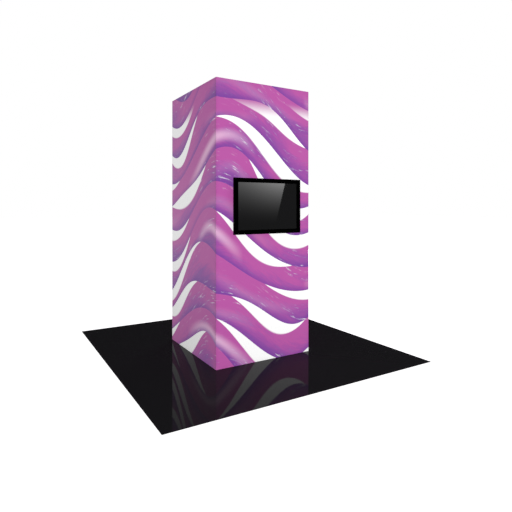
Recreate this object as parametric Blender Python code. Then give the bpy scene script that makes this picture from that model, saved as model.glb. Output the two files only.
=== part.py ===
"""A backlit display tower: a square aluminium frame covered with stretched fabric, lit from inside,
with a tilting monitor on its front face, standing on a thin gloss floor sheet.

Metres, +Z up. The origin is at the centre of the underside of the floor sheet.
The monitor hangs on the front, which faces -Y. The mains inlet is low on the rear, which faces +Y.
"""
import math

import bmesh
import bpy
from mathutils import Matrix, Vector

# Fits shared by all pieces
GAP = 0.0003                    # between two faces that touch
OVERRUN = 0.005                 # how far a cutter runs past the face that it opens

# Floor sheet and tower
FLOOR_WIDTH = 3.048
FLOOR_THICKNESS = 0.003
FRAME_WIDTH = 1.200
TOWER_HEIGHT = 2.995            # from the floor sheet to the top edge of the fabric
FABRIC_THICKNESS = 0.0008
HEM_RISE = 0.0008               # from the floor sheet to the lower edge of the fabric

# Aluminium frame
POST_WIDTH = 0.050
RAIL_HEIGHT = 0.050
PROFILE_WALL = 0.0025

# Sewn edge trim of the fabric: flat strips in the rails, square beads in the posts
STRIP_THICKNESS = 0.003
STRIP_DEPTH = 0.012
STRIP_FROM_EDGE = 0.004
BEAD_WIDTH = 0.0036
BEAD_DEPTH = 0.0039
BEAD_FROM_CORNER = 0.007        # from the post's outer corner to the bead pocket, along the diagonal
MOUTH_WIDTH = 0.0024

# Bolts, each captive in the piece that it fastens
BOLT_RADIUS = 0.003
BOLT_HEAD_RADIUS = 0.0055
BOLT_HEAD_HEIGHT = 0.0035
BOLT_TAIL = 0.003               # what shows behind the last wall
BOLT_SIDES = 8

# Corner brackets: a plate on two rails and a tab on each face of the post
BRACKET_LEG = 0.050
BRACKET_THICKNESS = 0.004
BRACKET_WIDTH = 0.020
BRACKET_FROM_FACE = 0.009       # from the frame's outer face to the bracket's edge
BRACKET_HOLE = 0.032            # from the corner to each bolt

# Top panel
TOP_PANEL_THICKNESS = 0.003
VENT_LENGTH = 0.160
VENT_WIDTH = 0.008
VENT_PITCH = 0.022
VENTS_IN_A_ROW = 9
VENT_ROW_FROM_CENTRE = 0.220
SCREW_RADIUS = 0.0016
SCREW_HEAD_RADIUS = 0.0034
SCREW_HEAD_HEIGHT = 0.0014
SCREW_TAIL = 0.004
TOP_SCREW_SPREAD = 0.400

# Base plate
BASE_THICKNESS = 0.005
BASE_LAP = 0.020                # how far the plate lies on each rail
CORNER_CLEARANCE = 0.001        # between the plate and a post
BASE_BOLT_SPREAD = 0.300
CABLE_HOLE_RADIUS = 0.016

# Light mast
MAST_WIDTH = 0.060
FOOT_WIDTH = 0.160
FOOT_THICKNESS = 0.006
COLLAR_HEIGHT = 0.040
COLLAR_WALL = 0.004
FOOT_BOLT_FROM_CENTRE = 0.060
BRACE_WIDTH = 0.068
BRACE_HEIGHT = 0.030
BRACE_DROP = 0.010              # from the top of the frame to the top of the brace
END_PLATE_WIDTH = 0.130
END_PLATE_THICKNESS = 0.004
END_BOLT_FROM_CENTRE = 0.050

# Light bars
BAR_WIDTH = 0.020
BAR_DEPTH = 0.008
BAR_FROM_FOOT = 0.030
BAR_FROM_COLLAR = 0.020
LENS_RADIUS = 0.009
LENS_TOP_RADIUS = 0.006
LENS_HEIGHT = 0.005
LENS_SIDES = 8
LENSES_ON_A_BAR = 18

# Light driver and junction box, standing on the base plate end to end
DRIVER_LENGTH = 0.240
DRIVER_WIDTH = 0.068
DRIVER_HEIGHT = 0.040
DRIVER_EAR = 0.018
DRIVER_EAR_LENGTH = 0.030
DRIVER_EAR_THICKNESS = 0.003
BOX_LENGTH = 0.120
BOX_DEPTH = 0.090
BOX_HEIGHT = 0.050
BOX_WALL = 0.0025
CABLE_ENTRY_CLEARANCE = 0.001
BOX_FROM_POST = 0.150           # from the posts' inner faces to the box's middle, along X
BOX_FROM_REAR = 0.190

# Monitor, outside sizes and the borders of its bezel
MONITOR_WIDTH = 0.858
MONITOR_HEIGHT = 0.592
SIDE_BORDER = 0.052
END_BORDER = 0.045
MONITOR_CENTRE = 1.674          # its height above the floor sheet
MONITOR_FRONT = 0.067           # from the fabric to the front of the bezel
BEZEL_DEPTH = 0.017
BEZEL_LIP = 0.003
BEZEL_WALL = 0.0025
BEZEL_CORNER = 0.004
CORNER_STEPS = 4
GLASS_LAP = 0.018               # how far the glass reaches behind the lip
GLASS_THICKNESS = 0.003
LCD_LAP = 0.014
LCD_THICKNESS = 0.008
CHASSIS_THICKNESS = 0.0015
COVER_INSET = 0.001             # how much smaller the rear cover is than the bezel, on each side
COVER_DEPTH = 0.0267
COVER_RIM = 0.001               # the upright part of its sides, next to the bezel
COVER_TAPER = 0.028             # how far its sides slope in on the way to its back
COVER_WALL = 0.0025
COVER_VENTS = 14
COVER_VENT_WIDTH = 0.004
COVER_VENT_LENGTH = 0.030
COVER_VENT_PITCH = 0.016
COVER_VENTS_ABOVE_CENTRE = 0.200
BOARD_THICKNESS = 0.0016
BOARD_PARTS_HEIGHT = 0.009
MAIN_BOARD_WIDTH = 0.180
MAIN_BOARD_HEIGHT = 0.140
BOARD_FROM_CENTRE = 0.060

# Buttons under the monitor
KEY_LENGTH = 0.014
KEY_WIDTH = 0.006
KEY_PROUD = 0.0012
KEY_FLANGE = 0.0015
KEY_FLANGE_LAP = 0.0015
KEY_FROM_EDGE = 0.099           # from the bezel's right-hand edge to the first button
KEY_PITCH = 0.030
KEY_FROM_FRONT = 0.0095

# Monitor mount
BEAM_DEPTH = 0.040
BEAM_SETBACK = 0.008            # from the frame's outer face to the front of a beam
LOWER_BEAM_DROP = 0.220         # from the monitor's centre to the lower beam's centre
UPPER_BEAM_RISE = 0.120
BEAM_END_HEIGHT = 0.080
BEAM_BOLT_FROM_CENTRE = 0.030
STANDOFF_RADIUS = 0.010
STANDOFF_BORE_DEPTH = 0.010
STANDOFF_SPREAD = 0.150
STANDOFF_SIDES = 16
FABRIC_HOLE_CLEARANCE = 0.002
WALL_PLATE_THICKNESS = 0.003
WALL_PLATE_OFF_FABRIC = 0.0044
WALL_PLATE_HALF_WIDTH = 0.232
WALL_PLATE_MARGIN = 0.012       # below the pivots
WALL_PLATE_TOP = 0.150          # above the monitor's centre
STUD_RADIUS = 0.004
STUD_HEAD_RADIUS = 0.0075
STUD_HEAD_HEIGHT = 0.0035
PIVOT_RISE = 0.041              # from the monitor's lower edge to the pivots
PIVOT_OFF_PLATE = 0.008         # from the wall plate's front to the pivots
PIVOT_RADIUS = 0.003
PIVOT_HEAD_RADIUS = 0.005
PIVOT_HEAD_HEIGHT = 0.0025
EAR_THICKNESS = 0.003
EAR_HALF_HEIGHT = 0.008
EAR_REACH = 0.005               # beyond the pivot
ARM_SPREAD = 0.200
ARM_WIDTH = 0.028
ARM_DEPTH = 0.012
ARM_WALL = 0.002
ARM_TAIL = 0.010                # below the pivot
ARM_TOP = 0.140                 # above the monitor's centre
ARM_BOLT_FROM_CENTRE = 0.100

# Mains inlet, low on the rear
INLET_FROM_POST = 0.150         # from the post's inner face to the middle of the plate
INLET_RISE = 0.004              # of its centre above the middle of the rail
INLET_WIDTH = 0.120
INLET_HEIGHT = 0.036
INLET_THICKNESS = 0.002
MODULE_WIDTH = 0.080
MODULE_HEIGHT = 0.024
MODULE_DEPTH = 0.026
MODULE_PROUD = 0.0015
SOCKET_X = 0.022                # from the middle of the plate
RECESS_WIDTH = 0.024
RECESS_HEIGHT = 0.016
RECESS_DEPTH = 0.018
PIN_WIDTH = 0.002
PIN_HEIGHT = 0.004
PIN_LENGTH = 0.012
PIN_PITCH = 0.007
PIN_STEP = 0.002
SWITCH_X = 0.022
SWITCH_WIDTH = 0.020
SWITCH_HEIGHT = 0.013
SWITCH_DEPTH = 0.014
ROCKER_HALF_WIDTH = 0.0092
ROCKER_TIP = 0.0018
ROCKER_EDGE = 0.0015
ROCKER_BACK = 0.0075
ROCKER_BACK_HALF_WIDTH = 0.003
ROCKER_PIVOT = 0.004
ROCKER_THROW = math.radians(12.0)
SCREW_FROM_END = 0.005

# Cables held inside
MAINS_CABLE_RADIUS = 0.0035
LEAD_RADIUS = 0.002
ROUTE_STEPS = 3                 # points on a cable from one chosen point to the next

# Heights and faces that follow from the sizes above
HALF = FRAME_WIDTH / 2
INNER = HALF - POST_WIDTH
WINDOW_WIDTH = MONITOR_WIDTH - 2 * SIDE_BORDER
WINDOW_HEIGHT = MONITOR_HEIGHT - 2 * END_BORDER
BOX_X = INNER - BOX_FROM_POST
BOX_Y = INNER - BOX_FROM_REAR
INLET_X = INNER - INLET_FROM_POST
FABRIC_BACK = HALF + GAP
FABRIC_FACE = FABRIC_BACK + FABRIC_THICKNESS
FRAME_BOTTOM = FLOOR_THICKNESS + GAP
TOP = FLOOR_THICKNESS + TOWER_HEIGHT
FRAME_TOP = TOP - TOP_PANEL_THICKNESS - GAP
BOTTOM_RAIL_TOP = FRAME_BOTTOM + RAIL_HEIGHT
BASE_TOP = BOTTOM_RAIL_TOP + GAP + BASE_THICKNESS
BRACKET_REACH = POST_WIDTH - BRACKET_FROM_FACE
BRACKET_CENTRE = BRACKET_REACH - BRACKET_WIDTH / 2
FOOT_TOP = BASE_TOP + GAP + FOOT_THICKNESS
BRACE_TOP = FRAME_TOP - BRACE_DROP
BRACE_BOTTOM = BRACE_TOP - BRACE_HEIGHT
MONITOR_Z = FLOOR_THICKNESS + MONITOR_CENTRE
BEZEL_FACE = -(FABRIC_FACE + MONITOR_FRONT)
BEZEL_BACK = BEZEL_FACE + BEZEL_DEPTH
COVER_FRONT = BEZEL_BACK + GAP
COVER_BACK = COVER_FRONT + COVER_DEPTH
ARM_FRONT = COVER_BACK + GAP
ARM_BACK = ARM_FRONT + ARM_DEPTH
PLATE_BACK = -(FABRIC_FACE + WALL_PLATE_OFF_FABRIC)
PLATE_FRONT = PLATE_BACK - WALL_PLATE_THICKNESS
PIVOT_Y = PLATE_FRONT - PIVOT_OFF_PLATE
PIVOT_Z = MONITOR_Z - MONITOR_HEIGHT / 2 + PIVOT_RISE
BEAM_FRONT = -HALF + BEAM_SETBACK
LOWER_BEAM_Z = MONITOR_Z - LOWER_BEAM_DROP
UPPER_BEAM_Z = MONITOR_Z + UPPER_BEAM_RISE
INLET_Z = FRAME_BOTTOM + RAIL_HEIGHT / 2 + INLET_RISE
INLET_FACE = FABRIC_FACE + GAP + INLET_THICKNESS
DRIVER_REAR = BOX_Y - BOX_DEPTH / 2 - GAP
DRIVER_MIDDLE = DRIVER_REAR - DRIVER_LENGTH / 2

SIDES = ("front", "right", "rear", "left")
POSTS = ("front_left", "front_right", "rear_right", "rear_left")
# Turns a shape drawn in X and Y so that it lies in Y and Z and is drawn out along X
ALONG_X = Matrix(((0, 0, 1, 0), (1, 0, 0, 0), (0, 1, 0, 0), (0, 0, 0, 1)))
# Turns it so that it lies in X and Z and is drawn out along -Y
ALONG_Y = Matrix(((1, 0, 0, 0), (0, 0, -1, 0), (0, 1, 0, 0), (0, 0, 0, 1)))


def clear_scene():
    """Removes what a new file holds."""
    for item in list(bpy.data.objects):
        bpy.data.objects.remove(item)


def quarter(turns):
    """A turn about the tower's own axis, in quarters: 0 is the front, 1 the right-hand side."""
    return Matrix.Rotation(math.radians(90.0 * turns), 4, "Z")


def at(x, y, z):
    """A shift to a point."""
    return Matrix.Translation((x, y, z))


def facing(point, axis):
    """A place at a point whose Z runs along the axis."""
    return Matrix.Translation(point) @ Vector(axis).to_track_quat("Z", "Y").to_matrix().to_4x4()


# Shapes

def add_block(bm, x, y, z, place=None):
    """Adds a closed box between the (low, high) pairs x, y and z."""
    outline = [(x[0], y[0]), (x[1], y[0]), (x[1], y[1]), (x[0], y[1])]
    add_prism(bm, outline, z[0], z[1], place)


def add_layers(bm, layers, place=None):
    """Adds a closed body through (outline, height) pairs. The outlines have equal counts of points."""
    turn = place or Matrix()
    rings = []
    for outline, height in layers:
        rings.append([bm.verts.new(turn @ Vector((x, y, height))) for x, y in outline])
    bm.faces.new(list(reversed(rings[0])))
    bm.faces.new(rings[-1])
    for lower, upper in zip(rings, rings[1:]):
        for i in range(len(lower)):
            j = (i + 1) % len(lower)
            bm.faces.new((lower[i], lower[j], upper[j], upper[i]))


def add_prism(bm, outline, low, high, place=None):
    """Adds a closed prism: an outline in X and Y, drawn out from low to high in Z, then placed."""
    add_layers(bm, [(outline, low), (outline, high)], place)


def circle(radius, sides):
    """The points of a round outline."""
    turns = [2.0 * math.pi * i / sides for i in range(sides)]
    return [(radius * math.cos(t), radius * math.sin(t)) for t in turns]


def add_turned(bm, profile, sides, place):
    """Adds a closed turned body: (radius, height) pairs from end to end about Z, then placed."""
    add_layers(bm, [(circle(radius, sides), height) for radius, height in profile], place)


def slot_outline(length, width, steps):
    """A long outline with round ends, along Y."""
    reach = (length - width) / 2
    points = []
    for i in range(steps + 1):
        turn = math.pi * i / steps
        points.append((width / 2 * math.cos(turn), reach + width / 2 * math.sin(turn)))
    return points + [(-x, -y) for x, y in points]


def rectangle(width, height):
    """The corners of a rectangle about the origin."""
    x, y = width / 2, height / 2
    return [(-x, -y), (x, -y), (x, y), (-x, y)]


def rounded_outline(width, height, radius, steps):
    """A rectangle about the origin with round corners."""
    points = []
    for corner in range(4):
        sx, sy = ((1, 1), (-1, 1), (-1, -1), (1, -1))[corner]
        for i in range(steps + 1):
            turn = math.radians(90.0 * (corner + i / steps))
            x = sx * (width / 2 - radius) + radius * math.cos(turn)
            y = sy * (height / 2 - radius) + radius * math.sin(turn)
            points.append((x, y))
    return points


# Objects

def new_object(name, bm, look):
    """Makes a named object from closed bodies, with their faces out and its own material."""
    bmesh.ops.recalc_face_normals(bm, faces=bm.faces)
    mesh = bpy.data.meshes.new(name)
    bm.to_mesh(mesh)
    bm.free()
    item = bpy.data.objects.new(name, mesh)
    bpy.context.collection.objects.link(item)
    if look:
        item.data.materials.append(look)
    return item


def combine(item, bm, operation):
    """Cuts the bodies of bm from an object (DIFFERENCE) or joins them to it (UNION)."""
    tool = new_object("tool", bm, None)
    modifier = item.modifiers.new(operation.lower(), "BOOLEAN")
    modifier.operation = operation
    modifier.solver = "EXACT"
    modifier.object = tool
    graph = bpy.context.evaluated_depsgraph_get()
    mesh = bpy.data.meshes.new_from_object(item.evaluated_get(graph))
    item.modifiers.clear()
    item.data = mesh
    bpy.data.objects.remove(tool)


def cut(item, bm):
    """Opens an object with the bodies of bm."""
    combine(item, bm, "DIFFERENCE")


def smooth(item):
    """Shades the round faces smooth and keeps the edges crisp."""
    item.data.shade_smooth()
    item.data.set_sharp_from_angle(angle=math.radians(35.0))


def move_origin(item, point):
    """Puts a moving piece's origin on its joint's axis."""
    item.data.transform(Matrix.Translation(-Vector(point)))
    item.location = point


# Materials

def finish(name, colour, roughness, metallic):
    """A plain material with one colour."""
    look = bpy.data.materials.new(name)
    look.use_nodes = True
    shader = look.node_tree.nodes["Principled BSDF"]
    shader.inputs["Base Color"].default_value = (*colour, 1.0)
    shader.inputs["Roughness"].default_value = roughness
    shader.inputs["Metallic"].default_value = metallic
    return look


def printed_fabric():
    return finish("printed_fabric", (0.48, 0.14, 0.40), 0.8, 0.0)


def gloss_black():
    return finish("gloss_black", (0.009, 0.009, 0.010), 0.06, 0.0)


def gloss_key():
    return finish("gloss_key", (0.009, 0.009, 0.010), 0.12, 0.0)


def satin_black():
    return finish("satin_black", (0.004, 0.004, 0.004), 0.4, 0.0)


def black_metal():
    return finish("black_metal", (0.02, 0.02, 0.02), 0.5, 0.6)


def anodised():
    return finish("anodised", (0.72, 0.73, 0.74), 0.35, 1.0)


def zinc():
    return finish("zinc", (0.60, 0.61, 0.62), 0.4, 1.0)


def steel_plate():
    return finish("steel_plate", (0.55, 0.56, 0.57), 0.5, 1.0)


def white_panel():
    return finish("white_panel", (0.85, 0.85, 0.86), 0.5, 0.0)


def white_enamel():
    return finish("white_enamel", (0.82, 0.82, 0.80), 0.45, 0.0)


def lens_plastic():
    return finish("lens_plastic", (0.95, 0.95, 0.90), 0.1, 0.0)


def grey_plastic():
    return finish("grey_plastic", (0.35, 0.36, 0.37), 0.5, 0.0)


def screen_glass():
    return finish("screen_glass", (0.010, 0.010, 0.011), 0.05, 0.0)


def circuit_board():
    return finish("circuit_board", (0.02, 0.20, 0.08), 0.5, 0.0)


def cable_sheath():
    return finish("cable_sheath", (0.015, 0.015, 0.015), 0.5, 0.0)


# Bolts: each is a place and a grip. The place has its origin on the face under the head and its Z
# out of the head, and the grip runs from that face to the tip of the shank

def bracket_place(side, up):
    """The place of a corner bracket: the post's inner corner, on the rails' faces, Z away from them."""
    face = BOTTOM_RAIL_TOP + GAP if up > 0 else FRAME_TOP - RAIL_HEIGHT - GAP
    return quarter(side) @ at(-INNER, -INNER, face) @ Matrix.Diagonal((1, 1, up, 1))


def bracket_bolts(side, up):
    """Two bolts into the rails and two into the post."""
    grip = BRACKET_THICKNESS + GAP + PROFILE_WALL + BOLT_TAIL
    face = GAP + BRACKET_THICKNESS
    points = [((BRACKET_HOLE, -BRACKET_CENTRE, BRACKET_THICKNESS), (0, 0, 1)),
              ((-BRACKET_CENTRE, BRACKET_HOLE, BRACKET_THICKNESS), (0, 0, 1)),
              ((face, -BRACKET_CENTRE, BRACKET_HOLE), (1, 0, 0)),
              ((-BRACKET_CENTRE, face, BRACKET_HOLE), (0, 1, 0))]
    return [(bracket_place(side, up) @ facing(point, axis), grip) for point, axis in points]


def beam_bolts(height):
    """Two bolts at each end of a beam, above and below it."""
    grip = BRACKET_THICKNESS + GAP + PROFILE_WALL + BOLT_TAIL
    bolts = []
    for end in (-1, 1):
        for up in (-BEAM_BOLT_FROM_CENTRE, BEAM_BOLT_FROM_CENTRE):
            point = (end * (INNER - GAP - BRACKET_THICKNESS), BEAM_FRONT + BEAM_DEPTH / 2, height + up)
            bolts.append((facing(point, (-end, 0, 0)), grip))
    return bolts


def brace_bolts():
    """Two bolts at each end of the brace, into the front and rear top rails."""
    grip = END_PLATE_THICKNESS + GAP + PROFILE_WALL + BOLT_TAIL
    bolts = []
    for side in (0, 2):
        for x in (-END_BOLT_FROM_CENTRE, END_BOLT_FROM_CENTRE):
            point = (x, -(INNER - GAP - END_PLATE_THICKNESS), BRACE_TOP - BRACE_HEIGHT / 2)
            bolts.append((quarter(side) @ facing(point, (0, 1, 0)), grip))
    return bolts


def base_bolts():
    """Two bolts from the base plate into each bottom rail."""
    grip = BASE_THICKNESS + GAP + PROFILE_WALL + BOLT_TAIL
    bolts = []
    for side in range(len(SIDES)):
        for x in (-BASE_BOLT_SPREAD, BASE_BOLT_SPREAD):
            bolts.append((quarter(side) @ at(x, -(INNER + BASE_LAP / 2), BASE_TOP), grip))
    return bolts


def foot_bolts():
    """Four bolts from the mast's foot through the base plate."""
    grip = FOOT_THICKNESS + GAP + BASE_THICKNESS + BOLT_TAIL
    x = FOOT_BOLT_FROM_CENTRE
    return [(quarter(side) @ at(x, -x, FOOT_TOP), grip) for side in range(len(SIDES))]


def driver_bolts():
    """One bolt through each of the driver's ears."""
    grip = DRIVER_EAR_THICKNESS + GAP + BASE_THICKNESS + BOLT_TAIL
    reach = (DRIVER_WIDTH + DRIVER_EAR) / 2
    height = BASE_TOP + GAP + DRIVER_EAR_THICKNESS
    return [(at(BOX_X + x, DRIVER_MIDDLE, height), grip) for x in (-reach, reach)]


def frame_bolts():
    """Every bolt that enters a post or a rail."""
    bolts = brace_bolts() + base_bolts() + beam_bolts(LOWER_BEAM_Z) + beam_bolts(UPPER_BEAM_Z)
    for side in range(len(SIDES)):
        bolts += bracket_bolts(side, 1) + bracket_bolts(side, -1)
    return bolts


def bolt_holes(bolts):
    """Cutters for bolts: each clears its shank, and stops inside the hollow behind the wall."""
    bm = bmesh.new()
    for place, grip in bolts:
        add_prism(bm, circle(BOLT_RADIUS + GAP, BOLT_SIDES), -grip - GAP, BOLT_TAIL, place)
    return bm


def add_fastener(bm, place, grip, shank, head, head_height, sides):
    """Adds a bolt or a screw with its head on the place's XY plane, sunk a little into it."""
    profile = [(shank, -grip), (shank, -GAP), (head, -GAP), (head, head_height)]
    add_turned(bm, profile, sides, place)


def fasten(item, bolts):
    """Sets the captive bolts in the piece that carries them."""
    bm = bmesh.new()
    for place, grip in bolts:
        add_fastener(bm, place, grip, BOLT_RADIUS, BOLT_HEAD_RADIUS, BOLT_HEAD_HEIGHT, BOLT_SIDES)
    combine(item, bm, "UNION")


# Frame

def floor_sheet():
    """The thin gloss sheet that the tower stands on."""
    bm = bmesh.new()
    half = FLOOR_WIDTH / 2
    add_block(bm, (-half, half), (-half, half), (0, FLOOR_THICKNESS))
    new_object("floor_sheet", bm, gloss_black())


def rail_groove():
    """Low and high edge of the groove for a fabric strip, counted from the rail's outer edge."""
    return STRIP_FROM_EDGE, STRIP_FROM_EDGE + STRIP_THICKNESS + 2 * GAP


def rail(name, side, edge, up):
    """One rail between two posts. Its groove lies near the edge, and up points away from that edge."""
    low, high = rail_groove()
    deep = STRIP_DEPTH + GAP
    outer = [(0, 0), (POST_WIDTH, 0), (POST_WIDTH, RAIL_HEIGHT), (0, RAIL_HEIGHT),
             (0, high), (deep, high), (deep, low), (0, low)]
    wall = PROFILE_WALL
    place = quarter(side) @ at(0, -HALF, edge) @ Matrix.Diagonal((1, 1, up, 1)) @ ALONG_X
    reach = INNER - GAP
    bm = bmesh.new()
    add_prism(bm, outer, -reach, reach, place)
    item = new_object(name, bm, anodised())
    hollow = bmesh.new()
    x = (wall, POST_WIDTH - wall)
    y = (high + wall, RAIL_HEIGHT - wall)
    add_block(hollow, x, y, (-reach - OVERRUN, reach + OVERRUN), place)
    cut(item, hollow)
    cut(item, bolt_holes(frame_bolts()))
    return item


def corner_post(name, side):
    """One post with a bead pocket behind a narrow mouth at its outer corner."""
    def diagonal(along, across):
        return ((along + across) / math.sqrt(2.0), (along - across) / math.sqrt(2.0))

    mouth = MOUTH_WIDTH / 2
    near = BEAD_FROM_CORNER
    far = near + BEAD_DEPTH + 2 * GAP
    pocket = BEAD_WIDTH + 2 * GAP
    lip = mouth * math.sqrt(2.0)
    wide = POST_WIDTH
    outer = [(lip, 0), (wide, 0), (wide, wide), (0, wide), (0, lip)]
    outer += [diagonal(near, -mouth), diagonal(near, -pocket), diagonal(far, -pocket)]
    outer += [diagonal(far, pocket), diagonal(near, pocket), diagonal(near, mouth)]
    place = quarter(side) @ at(-HALF, -HALF, 0)
    bm = bmesh.new()
    add_prism(bm, outer, FRAME_BOTTOM, FRAME_TOP, place)
    item = new_object("corner_post_" + name, bm, anodised())
    wall = PROFILE_WALL
    reach = (far + wall) * math.sqrt(2.0) - wall
    inside = wide - wall
    hollow = bmesh.new()
    cavity = [(reach, wall), (inside, wall), (inside, inside), (wall, inside), (wall, reach)]
    add_prism(hollow, cavity, FRAME_BOTTOM - OVERRUN, FRAME_TOP + OVERRUN, place)
    cut(item, hollow)
    cut(item, bolt_holes(frame_bolts()))


def corner_bracket(name, side, up):
    """One bracket that ties a post to its two rails, with its four bolts."""
    near = GAP
    far = BRACKET_LEG
    back = -BRACKET_REACH
    thick = BRACKET_THICKNESS
    place = bracket_place(side, up)
    plate = [(near, back), (far, back), (far, far), (back, far), (back, near), (near, near)]
    bm = bmesh.new()
    add_prism(bm, plate, 0, thick, place)
    item = new_object(name, bm, zinc())
    tabs = bmesh.new()
    across = (back, back + BRACKET_WIDTH)
    add_block(tabs, (near, near + thick), across, (thick / 2, far), place)
    add_block(tabs, across, (near, near + thick), (thick / 2, far), place)
    combine(item, tabs, "UNION")
    fasten(item, bracket_bolts(side, up))


def top_panel():
    """The vented sheet that closes the top."""
    bm = bmesh.new()
    low = FRAME_TOP + GAP
    add_block(bm, (-HALF, HALF), (-HALF, HALF), (low, TOP))
    item = new_object("top_panel", bm, white_panel())
    vents = bmesh.new()
    outline = slot_outline(VENT_LENGTH, VENT_WIDTH, CORNER_STEPS)
    for row in (-1, 1):
        for i in range(VENTS_IN_A_ROW):
            x = VENT_PITCH * (i - (VENTS_IN_A_ROW - 1) / 2)
            add_prism(vents, outline, low - OVERRUN, TOP + OVERRUN, at(x, row * VENT_ROW_FROM_CENTRE, 0))
    cut(item, vents)
    add_screws(item, top_screws())


def top_screws():
    """Places of the screws that hold the top panel, with their Z out of the head."""
    places = []
    for side in range(len(SIDES)):
        for x in (-TOP_SCREW_SPREAD, TOP_SCREW_SPREAD):
            places.append(quarter(side) @ at(x, -(HALF - POST_WIDTH / 2), TOP))
    return places


def inlet_screws():
    """Places of the screws that hold the inlet plate."""
    places = []
    for x in (-1, 1):
        for z in (-1, 1):
            across = INLET_X + x * (INLET_WIDTH / 2 - SCREW_FROM_END)
            height = INLET_Z + z * (INLET_HEIGHT / 2 - SCREW_FROM_END)
            places.append(facing((across, INLET_FACE, height), (0, 1, 0)))
    return places


def screw_grip():
    """From under a panel screw's head to its tip."""
    return TOP_PANEL_THICKNESS + PROFILE_WALL + SCREW_TAIL


def screw_holes(places):
    """Cutters for the panel screws."""
    bm = bmesh.new()
    for place in places:
        outline = circle(SCREW_RADIUS + GAP, BOLT_SIDES)
        add_prism(bm, outline, -screw_grip() - GAP, SCREW_TAIL, place)
    return bm


def add_screws(item, places):
    """Sets the captive screws in the panel that carries them."""
    bm = bmesh.new()
    sizes = (SCREW_RADIUS, SCREW_HEAD_RADIUS, SCREW_HEAD_HEIGHT, BOLT_SIDES)
    for place in places:
        add_fastener(bm, place, screw_grip(), *sizes)
    combine(item, bm, "UNION")


def rails():
    """The bottom and top rails, with the rear bottom one opened for the mains inlet."""
    for side, name in enumerate(SIDES):
        lower = rail("bottom_rail_" + name, side, FRAME_BOTTOM, 1)
        upper = rail("top_rail_" + name, side, FRAME_TOP, -1)
        cut(upper, screw_holes(top_screws()))
        if name == "rear":
            cut(lower, inlet_window())
            cut(lower, screw_holes(inlet_screws()))
            way = bmesh.new()
            x = INLET_X + SOCKET_X
            hole = circle(MAINS_CABLE_RADIUS + FABRIC_HOLE_CLEARANCE, STANDOFF_SIDES)
            add_prism(way, hole, -POST_WIDTH / 2, OVERRUN, facing((x, INNER, INLET_Z), (0, -1, 0)))
            cut(lower, way)


# Fabric

def fabric(side, name):
    """One printed face with its sewn trim, mitred at the corners of the tower."""
    outer = FABRIC_FACE
    inner = FABRIC_BACK
    outline = [(GAP - outer, -outer), (outer - GAP, -outer), (inner - GAP, -inner), (GAP - inner, -inner)]
    bm = bmesh.new()
    add_prism(bm, outline, FLOOR_THICKNESS + HEM_RISE, TOP, quarter(side))
    item = new_object("fabric_" + name, bm, printed_fabric())
    combine(item, trim(side), "UNION")
    if name == "front":
        holes = bmesh.new()
        ways = [(STANDOFF_RADIUS, point) for point in standoff_points().values()]
        ways.append((MAINS_CABLE_RADIUS, MONITOR_CABLE_EXIT))
        for radius, (x, z) in ways:
            outline = circle(radius + FABRIC_HOLE_CLEARANCE, STANDOFF_SIDES)
            add_prism(holes, outline, -OVERRUN, OVERRUN, facing((x, -inner, z), (0, -1, 0)))
        cut(item, holes)
    if name == "rear":
        cut(item, inlet_window())
        cut(item, screw_holes(inlet_screws()))


def trim(side):
    """The sewn trim of one face: two strips in the rails, and two beads on webs in the posts."""
    bm = bmesh.new()
    low = rail_groove()[0] + GAP
    reach = INNER - GAP
    seam = FABRIC_THICKNESS / 2
    for edge, up in ((FRAME_BOTTOM, 1), (FRAME_TOP, -1)):
        z = sorted((edge + up * low, edge + up * (low + STRIP_THICKNESS)))
        add_block(bm, (-reach, reach), (-FABRIC_BACK - seam, -HALF + STRIP_DEPTH), z, quarter(side))
    near = BEAD_FROM_CORNER + GAP
    far = near + BEAD_DEPTH
    inner = GAP / 2
    web = inner + FABRIC_THICKNESS
    bead = inner + BEAD_WIDTH
    outline = [(-seam, inner), (far, inner), (far, bead), (near, bead), (near, web), (-seam, web)]
    for end, turn in ((-1, 45.0), (1, 135.0)):
        corner = quarter(side) @ at(end * HALF, -HALF, 0)
        place = corner @ Matrix.Rotation(math.radians(turn), 4, "Z")
        add_prism(bm, [(x, end * y) for x, y in outline], FRAME_BOTTOM, FRAME_TOP, place)
    return bm


# Base and light

def base_plate():
    """The steel sheet on the bottom rails, notched round the posts."""
    edge = INNER + BASE_LAP
    notch = INNER - BRACKET_LEG - CORNER_CLEARANCE
    outline = []
    for turns in range(len(SIDES)):
        for x, y in ((notch, -edge), (notch, -notch), (edge, -notch)):
            point = quarter(turns) @ Vector((x, y, 0))
            outline.append((point.x, point.y))
    bm = bmesh.new()
    low = BOTTOM_RAIL_TOP + GAP
    add_prism(bm, outline, low, BASE_TOP)
    item = new_object("base_plate", bm, steel_plate())
    cut(item, bolt_holes(foot_bolts() + driver_bolts()))
    fasten(item, base_bolts())
    way = bmesh.new()
    x, y = CABLE_HOLE
    add_prism(way, circle(CABLE_HOLE_RADIUS, STANDOFF_SIDES), low - OVERRUN, BASE_TOP + OVERRUN, at(x, y, 0))
    cut(item, way)


def light_mast():
    """The square tube that carries the light bars, on its welded foot."""
    half = MAST_WIDTH / 2
    high = BRACE_BOTTOM - GAP
    wide = FOOT_WIDTH / 2
    bm = bmesh.new()
    add_block(bm, (-wide, wide), (-wide, wide), (BASE_TOP + GAP, FOOT_TOP))
    item = new_object("light_mast", bm, white_enamel())
    tube = bmesh.new()
    add_block(tube, (-half, half), (-half, half), (FOOT_TOP - FOOT_THICKNESS / 2, high))
    combine(item, tube, "UNION")
    inside = half - PROFILE_WALL
    hollow = bmesh.new()
    add_block(hollow, (-inside, inside), (-inside, inside), (BASE_TOP - OVERRUN, high + OVERRUN))
    cut(item, hollow)
    fasten(item, foot_bolts())


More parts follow.
